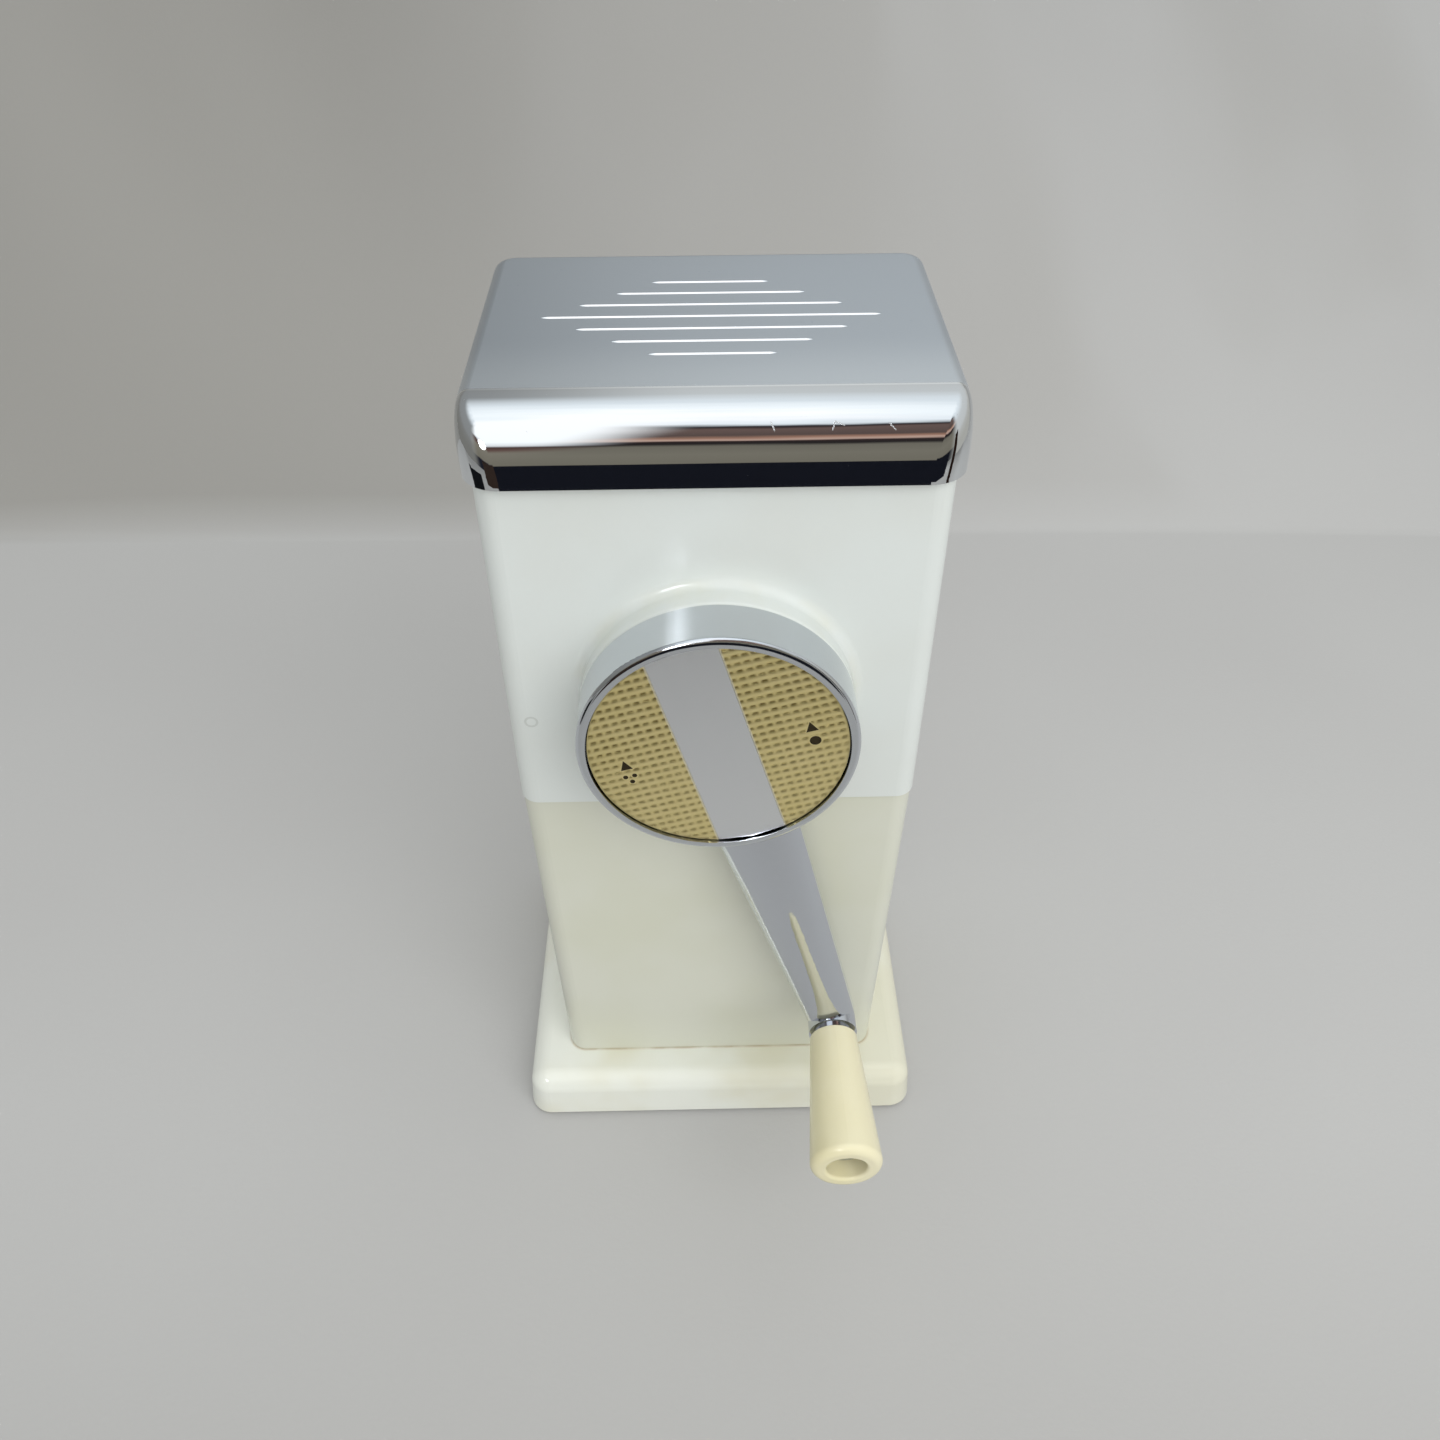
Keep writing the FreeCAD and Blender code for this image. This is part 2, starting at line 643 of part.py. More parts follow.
def make_housing():
    """Upper housing: an open box with a round boss in front and screw bosses in its corners."""
    body = new_body("upper_housing")
    outer = plane_sketch(body, "XY_Plane", "seam_height")
    draw_rounded(outer, "housing_width / 2", "housing_depth / 2", "housing_corner")
    pad(body, outer, "housing_height")
    boss = plane_sketch(body, "XZ_Plane", "housing_depth / 2 - housing_wall")
    draw_circle(boss, "boss_radius", "0", "axis_height")
    pad(body, boss, "housing_wall + boss_depth")
    round_ring(body, "boss_root_round", "front_face", "boss_radius")
    round_ring(body, "boss_edge_round", "boss_front", "boss_radius")
    inner = plane_sketch(body, "XY_Plane", "seam_height")
    inside = "housing_corner - housing_wall"
    draw_rounded(inner, "housing_width / 2 - housing_wall", "housing_depth / 2 - housing_wall", inside)
    pocket(body, inner, "housing_height", backwards=True)
    cavity = plane_sketch(body, "XZ_Plane", "-boss_inside")
    draw_circle(cavity, "boss_radius - boss_wall", "0", "axis_height")
    pocket(body, cavity, "boss_depth")
    bosses = plane_sketch(body, "XY_Plane", "housing_top")
    for x, y in four_corners("corner_boss_x", "corner_boss_y"):
        draw_circle(bosses, "corner_boss_radius", x, y)
    pad(body, bosses, "corner_boss_height", backwards=True)
    pilots = plane_sketch(body, "XY_Plane", "housing_top")
    for x, y in four_corners("corner_boss_x", "corner_boss_y"):
        draw_circle(pilots, "screw_radius + running_gap", x, y)
    pocket(body, pilots, "screw_length + hole_gap")
    holes = plane_sketch(body, "XZ_Plane", "-boss_front")
    draw_circle(holes, "bearing_radius + running_gap", "0", "axis_height")
    for x, y in four_corners("post_spread", "post_spread"):
        draw_circle(holes, "screw_radius + fit_gap", x, "axis_height + " + y)
    pocket(body, holes, "boss_wall")
    rivets = plane_sketch(body, "XZ_Plane", "-back_face")
    for x in ("rivet_spread", "-rivet_spread"):
        draw_circle(rivets, "rivet_radius + running_gap", x, "bracket_rivet_z")
    pocket(body, rivets, "housing_wall", backwards=True)
    keep(body, "upper_housing")


def make_hopper():
    """Hopper: a flange on the housing, a raised mouth under the lid, and a funnel to the rotor."""
    body = new_body("hopper")
    flange = plane_sketch(body, "XY_Plane", "housing_top")
    inset = "housing_wall / 2"
    draw_rounded(flange, "housing_width / 2 - " + inset, "housing_depth / 2 - " + inset, "housing_corner")
    pad(body, flange, "hopper_wall")
    rim = plane_sketch(body, "XY_Plane", "housing_top")
    draw_rounded(rim, "mouth_half_x", "mouth_half_y", "mouth_corner")
    pad(body, rim, "lid_top - lid_wall - end_gap - housing_top")
    low = plane_sketch(body, "XY_Plane", "throat_height")
    draw_rounded(low, "throat_half_x", "mouth_half_y", "spout_corner")
    loft(body, "AdditiveLoft", [rim, low])
    spout = plane_sketch(body, "XY_Plane", "throat_height")
    draw_rounded(spout, "throat_half_x", "mouth_half_y", "spout_corner")
    pad(body, spout, "spout_length", backwards=True)
    mouth = plane_sketch(body, "XY_Plane", "housing_top")
    inner_corner = "mouth_corner - hopper_wall"
    draw_rounded(mouth, "mouth_half_x - hopper_wall", "mouth_half_y - hopper_wall", inner_corner)
    pocket(body, mouth, "lid_height", backwards=True)
    bottom = plane_sketch(body, "XY_Plane", "throat_height")
    small_corner = "spout_corner / 2"
    draw_rounded(bottom, "throat_half_x - hopper_wall", "mouth_half_y - hopper_wall", small_corner)
    loft(body, "SubtractiveLoft", [mouth, bottom])
    outlet = plane_sketch(body, "XY_Plane", "throat_height")
    draw_rounded(outlet, "throat_half_x - hopper_wall", "mouth_half_y - hopper_wall", small_corner)
    pocket(body, outlet, "spout_length")
    holes = plane_sketch(body, "XY_Plane", "housing_top")
    for x, y in four_corners("corner_boss_x", "corner_boss_y"):
        draw_circle(holes, "screw_radius + fit_gap", x, y)
    pocket(body, holes, "hopper_wall", backwards=True)
    keep(body, "hopper")

    top = "housing_top + hopper_wall"
    profile = headed(top + " + screw_head", top, top + " - screw_length",
                     "screw_head_radius", "screw_radius")
    corners = four_corners("corner_boss_x", "corner_boss_y")
    group("hopper_screws", [turned("hopper_screw", profile, x, y, "0", "Z") for x, y in corners])


def make_frame():
    """Crusher frame: a cast box around the rotor with bearing bosses and four posts in front."""
    body = new_body("crusher_frame")
    outer = plane_sketch(body, "XY_Plane", "frame_low")
    draw_rounded(outer, "frame_width / 2", "-frame_front", "frame_corner")
    pad(body, outer, "frame_high - frame_low")
    inner = plane_sketch(body, "XY_Plane", "frame_low")
    draw_rounded(inner, "chamber_half", "end_face", "chamber_corner")
    pocket(body, inner, "frame_high - frame_low", backwards=True)
    front = plane_sketch(body, "XZ_Plane", "end_face")
    draw_circle(front, "bearing_radius + bearing_boss_wall", "0", "axis_height")
    for x, y in four_corners("post_spread", "post_spread"):
        draw_circle(front, "post_radius", x, "axis_height + " + y)
    pad(body, front, "-boss_inside - end_face")
    rear = plane_sketch(body, "XZ_Plane", "-end_face")
    draw_circle(rear, "rear_bearing_radius + bearing_boss_wall", "0", "axis_height")
    pad(body, rear, "rear_boss_end - end_face", backwards=True)
    front_bore = plane_sketch(body, "XZ_Plane", "-boss_inside")
    draw_circle(front_bore, "bearing_radius + running_gap", "0", "axis_height")
    pocket(body, front_bore, "-boss_inside - end_face")
    pilots = plane_sketch(body, "XZ_Plane", "-boss_inside")
    for x, y in four_corners("post_spread", "post_spread"):
        draw_circle(pilots, "screw_radius + running_gap", x, "axis_height + " + y)
    pocket(body, pilots, "screw_length")
    rear_bore = plane_sketch(body, "XZ_Plane", "-rear_boss_end")
    draw_circle(rear_bore, "rear_bearing_radius + running_gap", "0", "axis_height")
    pocket(body, rear_bore, "rear_boss_end - end_face", backwards=True)
    sides = plane_sketch(body, "YZ_Plane")
    for y in ("comb_screw_y", "-comb_screw_y"):
        draw_circle(sides, "screw_radius + fit_gap", y, "axis_height")
    pocket(body, sides, "2 * frame_width", both_sides=True)
    keep(body, "crusher_frame")

    profile = headed("boss_front - screw_head", "boss_front", "boss_front + screw_length",
                     "screw_head_radius", "screw_radius")
    places = [(x, "axis_height + " + y) for x, y in four_corners("post_spread", "post_spread")]
    group("frame_screws", [turned("frame_screw", profile, x, "0", z) for x, z in places])


def make_comb(name, side, half_count, pitch):
    """Comb: a plate on the chamber's side wall with teeth that pass between the blades."""
    body = new_body(name)
    plate = plane_sketch(body, "XZ_Plane")
    draw_rectangle(plate, "comb_wall / 2", "comb_height / 2", "chamber_half - comb_wall / 2")
    pad(body, plate, "chamber_length - 2 * (chamber_corner + end_gap)", both_sides=True)
    teeth = plane_sketch(body, "XZ_Plane", "-(%s) * %d" % (pitch, half_count))
    near = "spacer_radius + tooth_tip_gap"
    root = "chamber_half - comb_wall / 2"
    low, high = "-tooth_height / 2", "tooth_height / 2"
    draw_outline(teeth, [(near, low), (root, low), (root, high), (near, high)])
    tooth = pad(body, teeth, "tooth_width", both_sides=True)
    row = body.newObject("PartDesign::LinearPattern", name + "_row")
    row.Originals = [tooth]
    row.Direction = (origin_part(body, "Y_Axis"), [""])
    row.Reversed = True
    row.Occurrences = 2 * half_count + 1
    bind(row, "Length", "(%s) * %d" % (pitch, 2 * half_count))
    body.Tip = row
    holes = plane_sketch(body, "YZ_Plane", "chamber_half")
    for y in ("comb_screw_y", "-comb_screw_y"):
        draw_circle(holes, "screw_radius + running_gap", y, "0")
    pocket(body, holes, "comb_wall")
    place(body, z="axis_height", angle=side)
    keep(body, name)


def make_combs():
    make_comb("comb_fine", "0", 3, "blade_pitch")
    make_comb("comb_coarse", "180", 1, "2 * blade_pitch")
    pieces = []
    for sign in ("", "-"):
        wall = sign + "(frame_width / 2)"
        profile = headed("%s + %s(screw_head)" % (wall, sign or "1 * "), wall,
                         "%s - %s(frame_wall + comb_wall)" % (wall, sign or "1 * "),
                         "screw_head_radius", "screw_radius")
        for y in ("comb_screw_y", "-comb_screw_y"):
            pieces.append(turned("comb_screw", profile, "0", y, "axis_height", "X"))
    group("comb_screws", pieces)


def make_bearings():
    front = turned("front_bearing", sleeve("boss_front", "-end_face", "journal_radius + running_gap",
                                           "bearing_radius"))
    keep(front, "front_bearing")
    rear = turned("rear_bearing", sleeve("end_face", "rear_boss_end", "rear_journal_radius + running_gap",
                                         "rear_bearing_radius"))
    keep(rear, "rear_bearing")


def make_shaft():
    """Rotor shaft: front journal, square for the blades, and a grooved rear journal."""
    body = new_body("rotor_shaft")
    clip_start = "rear_boss_end + end_gap"
    clip_end = clip_start + " + clip_wall + 2 * running_gap"
    end = clip_end + " + tail_length / 2"
    sketch = plane_sketch(body, "YZ_Plane")
    draw_outline(sketch, [
        ("carrier_back", "0"),
        ("carrier_back", "journal_radius"),
        ("-shoulder", "journal_radius"),
        ("-shoulder", "rear_journal_radius"),
        (clip_start, "rear_journal_radius"),
        (clip_start, "rear_journal_radius - groove_bite"),
        (clip_end, "rear_journal_radius - groove_bite"),
        (clip_end, "rear_journal_radius"),
        (end, "rear_journal_radius"),
        (end, "0"),
    ])
    made = body.newObject("PartDesign::Revolution", "rotor_shaft_turned")
    made.Profile = sketch
    made.ReferenceAxis = (sketch, ["H_Axis"])
    made.Angle = 360
    square = plane_sketch(body, "XZ_Plane")
    draw_rectangle(square, "square_side / 2", "square_side / 2")
    pad(body, square, "2 * shoulder", both_sides=True)
    tang = plane_sketch(body, "XZ_Plane", "-carrier_back")
    draw_rectangle(tang, "square_side / 2", "square_side / 2")
    pad(body, tang, "carrier_wall - running_gap")
    thread = plane_sketch(body, "XZ_Plane", "-carrier_front")
    draw_circle(thread, "hub_screw_radius + running_gap")
    pocket(body, thread, "hub_screw_length + hole_gap")
    set_on_crank(body)
    keep(body, "rotor_shaft")

    clip = turned("shaft_clip", sleeve(clip_start + " + running_gap", clip_end + " - running_gap",
                                       "rear_journal_radius - groove_bite + running_gap", "clip_radius"))
    slot = plane_sketch(clip, "XZ_Plane")
    draw_rectangle(slot, "clip_slot / 2", "clip_radius / 2", "0", "-clip_radius / 2 - running_gap")
    pocket(clip, slot, "housing_depth", both_sides=True)
    keep(clip, "shaft_clip")


def make_blades():
    """Six identical spiked blades on the square, each a quarter turn on from the last."""
    count = 6
    quarter_turn = 90  # degrees
    for number in range(count):
        name = "rotor_blade_%d" % (number + 1)
        body = new_body(name)
        disc = plane_sketch(body, "XZ_Plane")
        draw_circle(disc, "blade_hub_radius")
        pad(body, disc, "blade_wall", both_sides=True)
        spike = plane_sketch(body, "XZ_Plane")
        draw_outline(spike, [
            ("0", "-blade_spike"),
            ("sqrt(blade_radius ^ 2 - blade_spike ^ 2)", "-blade_spike"),
            ("blade_radius", "0"),
            ("blade_heel", "blade_heel"),
            ("0", "blade_spike"),
        ])
        first = pad(body, spike, "blade_wall", both_sides=True)
        spikes = body.newObject("PartDesign::PolarPattern", name + "_spikes")
        spikes.Originals = [first]
        spikes.Axis = (origin_part(body, "Y_Axis"), [""])
        spikes.Angle = 360
        spikes.Occurrences = 3
        body.Tip = spikes
        hole = plane_sketch(body, "XZ_Plane")
        draw_rectangle(hole, "square_side / 2 + running_gap", "square_side / 2 + running_gap")
        pocket(body, hole, "2 * blade_wall", both_sides=True)
        along = "(%s) * blade_pitch" % (number - (count - 1) / 2)
        set_on_crank(body, along, quarter_turn * number)
        keep(body, name)


def make_spacers():
    """Spacers between the blades, and one at each end of the rotor."""
    count = 7
    for number in range(count):
        name = "rotor_spacer_%d" % (number + 1)
        before = "(%s) * blade_pitch + blade_wall / 2" % (number - (count - 1) / 2 - 0.5)
        after = "(%s) * blade_pitch - blade_wall / 2" % (number - (count - 1) / 2 + 0.5)
        start = "-shoulder" if number == 0 else before
        end = "shoulder" if number == count - 1 else after
        body = new_body(name)
        sketch = plane_sketch(body, "XZ_Plane", "-(%s)" % end)
        draw_circle(sketch, "spacer_radius")
        draw_rectangle(sketch, "square_side / 2 + running_gap", "square_side / 2 + running_gap")
        pad(body, sketch, "(%s) - (%s)" % (end, start))
        set_on_crank(body)
        keep(body, name)


def make_crank():
    """Crank arm: a round carrier inside the hub and a crowned arm that tapers to the knob."""
    body = new_body("crank_arm")
    carrier = plane_sketch(body, "XZ_Plane", "-carrier_back")
    draw_circle(carrier, "hub_inner_radius - running_gap")
    pad(body, carrier, "carrier_wall")
    taper = "(arm_root_width - arm_tip_width) / 2 * arm_start / arm_length"
    root = plane_sketch(body, "XY_Plane", "-arm_start")
    draw_crown(root, "arm_root_width / 2 - " + taper, "carrier_back", "arm_edge", "arm_root_crown")
    tip = plane_sketch(body, "XY_Plane", "-arm_length")
    draw_crown(tip, "arm_tip_width / 2", "carrier_back", "arm_tip_edge", "arm_tip_crown")
    loft(body, "AdditiveLoft", [root, tip])
    seat = plane_sketch(body, "XZ_Plane", "-carrier_back")
    draw_circle(seat, "arm_tip_width / 2", "0", "-arm_length")
    pad(body, seat, "carrier_back - arm_tip_front")
    recess = plane_sketch(body, "XZ_Plane", "-carrier_back")
    near, far = "hub_radius + arm_recess_margin", "arm_length - arm_tip_width"
    narrowing = "(arm_root_width - arm_tip_width) / 2 / arm_length"
    half = "(arm_root_width / 2 - arm_recess_margin - " + narrowing + " * (%s))"
    draw_outline(recess, [
        ("-" + half % near, "-(%s)" % near),
        ("-" + half % far, "-(%s)" % far),
        (half % far, "-(%s)" % far),
        (half % near, "-(%s)" % near),
    ])
    pocket(body, recess, "arm_recess", backwards=True)
    square = plane_sketch(body, "XZ_Plane", "-carrier_back")
    draw_rectangle(square, "square_side / 2 + running_gap", "square_side / 2 + running_gap")
    pocket(body, square, "carrier_wall", backwards=True)
    thread = plane_sketch(body, "XZ_Plane", "-carrier_back")
    draw_circle(thread, "knob_thread_radius + running_gap", "0", "-arm_length")
    pocket(body, thread, "hub_depth", backwards=True)
    set_on_crank(body)
    keep(body, "crank_arm")


def make_hub():
    """Hub: thrust washer, centre screw, drawn cup, and the round dial with its band."""
    washer = turned("thrust_washer", sleeve("carrier_back + running_gap", "boss_front - end_gap",
                                            "journal_radius + running_gap", "bearing_radius + running_gap"))
    keep(washer, "thrust_washer")
    plate = turned("hub_washer", sleeve("carrier_front - hub_washer_wall", "carrier_front",
                                        "hub_screw_radius + running_gap", "hub_washer_radius"))
    keep(plate, "hub_washer")
    seat = "carrier_front - hub_washer_wall"
    screw = turned("hub_screw", headed(seat + " - hub_head", seat, "carrier_front + hub_screw_length",
                                       "hub_head_radius", "hub_screw_radius"))
    keep(screw, "hub_screw")

    inner = "hub_floor + hub_wall"
    cup = turned("hub_cup", [
        ("hub_back", "hub_inner_radius"),
        (inner, "hub_inner_radius"),
        (inner, "0"),
        ("hub_floor", "0"),
        ("hub_floor", "hub_radius - bezel_width"),
        ("hub_front", "hub_radius - bezel_width"),
        ("hub_front", "hub_radius"),
        ("hub_back", "hub_radius"),
    ])
    round_ring(cup, "hub_edge_round", "hub_front", "hub_radius")
    notch = plane_sketch(cup, "XZ_Plane", "-hub_back")
    taper = "(arm_root_width - arm_tip_width) / 2 * hub_inner_radius / arm_length"
    half = "(arm_root_width / 2 - %s + 2 * fit_gap)" % taper
    draw_outline(notch, [
        ("-" + half, "-hub_inner_radius / 2"),
        ("-" + half, "-hub_radius - hub_wall"),
        (half, "-hub_radius - hub_wall"),
        (half, "-hub_inner_radius / 2"),
    ])
    pocket(cup, notch, "hub_back - (%s)" % inner, backwards=True)
    set_on_crank(cup)
    keep(cup, "hub_cup")

    dial = turned("hub_medallion", [
        ("dial_front", "0"),
        ("dial_front", "dial_radius"),
        ("hub_floor", "dial_radius"),
        ("hub_floor", "0"),
    ])
    channel = plane_sketch(dial, "XZ_Plane", "-dial_front")
    draw_rectangle(channel, "band_width / 2 + running_gap", "dial_radius + hub_wall")
    pocket(dial, channel, "band_wall")
    set_on_crank(dial)
    keep(dial, "hub_medallion")
    band = new_body("hub_band")
    strip = plane_sketch(band, "XZ_Plane", "-dial_front - band_wall")
    draw_strip(strip, "band_width / 2", "dial_radius")
    pad(band, strip, "band_wall + running_gap")
    set_on_crank(band)
    keep(band, "hub_band")


def make_knob():
    """Knob: a tapered grip that turns on a shouldered pin."""
    washer = turned("knob_washer", sleeve("arm_tip_front - knob_washer_wall", "arm_tip_front",
                                          "knob_pin_radius + running_gap", "knob_washer_radius"),
                    "knob_x", "0", "knob_z")
    keep(washer, "knob_washer")
    pin = turned("knob_pin", [
        ("recess_floor - end_gap - knob_head", "0"),
        ("recess_floor - end_gap - knob_head", "knob_head_radius"),
        ("recess_floor - end_gap", "knob_head_radius"),
        ("recess_floor - end_gap", "knob_pin_radius"),
        ("arm_tip_front", "knob_pin_radius"),
        ("arm_tip_front", "knob_thread_radius"),
        ("carrier_back - running_gap", "knob_thread_radius"),
        ("carrier_back - running_gap", "0"),
    ], "knob_x", "0", "knob_z")
    keep(pin, "knob_pin")
    grip = turned("knob_grip", [
        ("knob_near", "knob_pin_radius + running_gap"),
        ("knob_near", "knob_near_radius"),
        ("knob_far", "knob_far_radius"),
        ("knob_far", "knob_recess_radius"),
        ("recess_floor", "knob_recess_radius"),
        ("recess_floor", "knob_pin_radius + running_gap"),
    ], "knob_x", "0", "knob_z")
    round_ring(grip, "knob_end_round", "knob_far", "knob_far_radius")
    round_ring(grip, "knob_mouth_round", "knob_far", "knob_recess_radius")
    round_ring(grip, "knob_near_round", "knob_near", "knob_near_radius")
    keep(grip, "knob_grip")


def rounded_shell(name, width, depth, low, high, corners, nose, edge):
    """Makes a block with upright corners, a bull nose along the front top and smaller rounds elsewhere."""
    block = doc.addObject("Part::Box", name + "_block")
    bind(block, "Length", width)
    bind(block, "Width", depth)
    bind(block, "Height", "(%s) - (%s)" % (high, low))
    place(block, "-(%s) / 2" % width, "-(%s) / 2" % depth, low)
    doc.recompute()
    front, top = -value(depth) / 2, value(high)
    edges = []
    for number, line in enumerate(block.Shape.Edges, start=1):
        box = line.BoundBox
        if box.ZLength > tiny:
            radius = value(corners[0] if box.YMax < 0 else corners[1])
        elif not level_edge(line, top):
            continue
        elif abs(box.YMin - front) < tiny and abs(box.YMax - front) < tiny:
            radius = value(nose)
        else:
            radius = value(edge)
        edges.append((number, radius, radius))
    made = doc.addObject("Part::Fillet", name)
    made.Base = block
    made.Edges = edges
    return made


def make_lid():
    """Lid: a pressed shell with seven grooves that grow longer towards the middle one."""
    outer = rounded_shell("lid_outside", "lid_width", "lid_depth", "lid_bottom", "lid_top",
                          ["lid_corner", "lid_back_corner"], "lid_nose", "lid_edge")
    inner = rounded_shell("lid_inside", "lid_width - 2 * lid_wall", "lid_depth - 2 * lid_wall",
                          "lid_bottom - lid_wall", "lid_top - lid_wall",
                          ["lid_corner - lid_wall", "lid_back_corner - lid_wall"],
                          "lid_nose - lid_wall", "lid_edge - lid_wall")
    cutters = [inner]
    count = 7
    for number in range(count):
        steps = number - (count - 1) / 2
        groove = doc.addObject("Part::Box", "lid_groove")
        length = "(groove_long - groove_step * %d)" % abs(steps)
        bind(groove, "Length", length)
        bind(groove, "Width", "groove_width")
        bind(groove, "Height", "2 * groove_depth")
        across = "groove_back + groove_pitch * %d - groove_width / 2" % steps
        place(groove, "-%s / 2" % length, across, "lid_top - groove_depth")
        cutters.append(groove)
    for x in ("rivet_spread", "-rivet_spread"):
        hole = doc.addObject("Part::Cylinder", "lid_rivet_hole")
        bind(hole, "Radius", "rivet_radius + running_gap")
        bind(hole, "Height", "3 * lid_wall")
        place(hole, x, "lid_back + lid_wall", "rivet_z", Vector(1, 0, 0), "90")
        cutters.append(hole)
    tools = doc.addObject("Part::MultiFuse", "lid_cutters")
    tools.Shapes = cutters
    shell = doc.addObject("Part::Cut", "lid_shell")
    shell.Base = outer
    shell.Tool = tools
    keep(shell, "lid_shell")


def rivets(name, back, front, z):
    """Makes a pair of rivets along Y, with a flat tail in front and a head behind."""
    profile = [
        ("%s - rivet_tail" % front, "0"),
        ("%s - rivet_tail" % front, "rivet_head_radius"),
        (front, "rivet_head_radius"),
        (front, "rivet_radius"),
        (back, "rivet_radius"),
        (back, "rivet_head_radius"),
        ("%s + rivet_head" % back, "rivet_radius"),
        ("%s + rivet_head" % back, "0"),
    ]
    group(name, [turned("rivet", profile, x, "0", z) for x in ("rivet_spread", "-rivet_spread")])


def make_hinge():
    """Hinge: a bracket on the housing, a leaf on the lid, and the pin that joins them."""
    bracket = new_body("hinge_bracket")
    plate = plane_sketch(bracket, "YZ_Plane")
    shelf = "hinge_z - knuckle_radius"
    wall = "back_face + leaf_wall"
    draw_outline(plate, [
        ("back_face", "hinge_z - bracket_height"),
        (wall, "hinge_z - bracket_height"),
        (wall, shelf),
        ("hinge_y", shelf),
        ("hinge_y", shelf + " + leaf_wall"),
        ("back_face", shelf + " + leaf_wall"),
    ])
    pad(bracket, plate, "bracket_width", both_sides=True)
    knuckle = plane_sketch(bracket, "YZ_Plane")
    draw_circle(knuckle, "knuckle_radius", "hinge_y", "hinge_z")
    pad(bracket, knuckle, "bracket_width", both_sides=True)
    bore = plane_sketch(bracket, "YZ_Plane")
    draw_circle(bore, "hinge_pin_radius + running_gap", "hinge_y", "hinge_z")
    pocket(bracket, bore, "2 * bracket_width", both_sides=True)
    gap = plane_sketch(bracket, "YZ_Plane")
    draw_outline(gap, [
        (wall, shelf + " - leaf_wall"),
        ("hinge_y + 2 * knuckle_radius", shelf + " - leaf_wall"),
        ("hinge_y + 2 * knuckle_radius", "hinge_z + 2 * knuckle_radius"),
        (wall, "hinge_z + 2 * knuckle_radius"),
    ])
    pocket(bracket, gap, "tongue_width + 2 * fit_gap", both_sides=True)
    holes = plane_sketch(bracket, "XZ_Plane", "-(%s)" % wall)
    for x in ("rivet_spread", "-rivet_spread"):
        draw_circle(holes, "rivet_radius + running_gap", x, "bracket_rivet_z")
    pocket(bracket, holes, "leaf_wall", backwards=True)
    keep(bracket, "hinge_bracket")
    rivets("bracket_rivets", wall, "back_face - housing_wall", "bracket_rivet_z")

    leaf = new_body("lid_hinge_leaf")
    tongue = plane_sketch(leaf, "YZ_Plane")
    leaf_back = "lid_back + leaf_wall"
    draw_outline(tongue, [
        ("lid_back", "hinge_z"),
        (leaf_back, "hinge_z"),
        (leaf_back, "leaf_high"),
        ("lid_back", "leaf_high"),
    ])
    pad(leaf, tongue, "tongue_width", both_sides=True)
    plate = plane_sketch(leaf, "YZ_Plane")
    draw_outline(plate, [
        ("lid_back", "leaf_low"),
        (leaf_back, "leaf_low"),
        (leaf_back, "leaf_high"),
        ("lid_back", "leaf_high"),
    ])
    pad(leaf, plate, "leaf_width", both_sides=True)
    knuckle = plane_sketch(leaf, "YZ_Plane")
    draw_circle(knuckle, "knuckle_radius", "hinge_y", "hinge_z")
    pad(leaf, knuckle, "tongue_width", both_sides=True)
    bore = plane_sketch(leaf, "YZ_Plane")
    draw_circle(bore, "hinge_pin_radius + running_gap", "hinge_y", "hinge_z")
    pocket(leaf, bore, "bracket_width", both_sides=True)
    holes = plane_sketch(leaf, "XZ_Plane", "-(%s)" % leaf_back)
    for x in ("rivet_spread", "-rivet_spread"):
        draw_circle(holes, "rivet_radius + running_gap", x, "rivet_z")
    pocket(leaf, holes, "leaf_wall", backwards=True)
    keep(leaf, "lid_hinge_leaf")
    rivets("lid_rivets", leaf_back, "lid_back - lid_wall", "rivet_z")

    half = "bracket_width / 2 + running_gap"
    pin = turned("hinge_pin", [
        ("-(%s) - pin_head_length" % half, "0"),
        ("-(%s) - pin_head_length" % half, "pin_head_radius"),
        ("-(%s)" % half, "pin_head_radius"),
        ("-(%s)" % half, "hinge_pin_radius"),
        (half, "hinge_pin_radius"),
        (half, "pin_head_radius"),
        (half + " + pin_head_length", "pin_head_radius"),
        (half + " + pin_head_length", "0"),
    ], "0", "hinge_y", "hinge_z", "X")
    keep(pin, "hinge_pin")


def check_and_write():
    """Stops at a failed object or a bad shape, and otherwise writes every sub-part."""
    doc.recompute()
    for thing in doc.Objects:
        if any(word in thing.State for word in ("Invalid", "Error")):
            raise RuntimeError("%s failed: %s" % (thing.Label, thing.State))
    for thing in nodes:
        shape = thing.Shape
        if shape.isNull() or not shape.isValid() or not shape.Solids:
            raise RuntimeError("%s has no valid solid" % thing.Label)
    os.makedirs("parts", exist_ok=True)
    for thing in nodes:
        thing.Shape.exportStep("parts/%s.step" % thing.Label)
        print("%-16s %2d solid(s) %10.1f mm3" % (thing.Label, len(thing.Shape.Solids), thing.Shape.Volume))


make_base()
make_bin()
make_housing()
make_hopper()
make_frame()
make_combs()
make_bearings()
make_shaft()
make_blades()
make_spacers()
make_crank()
make_hub()
make_knob()
make_lid()
make_hinge()
check_and_write()
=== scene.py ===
import json
import math

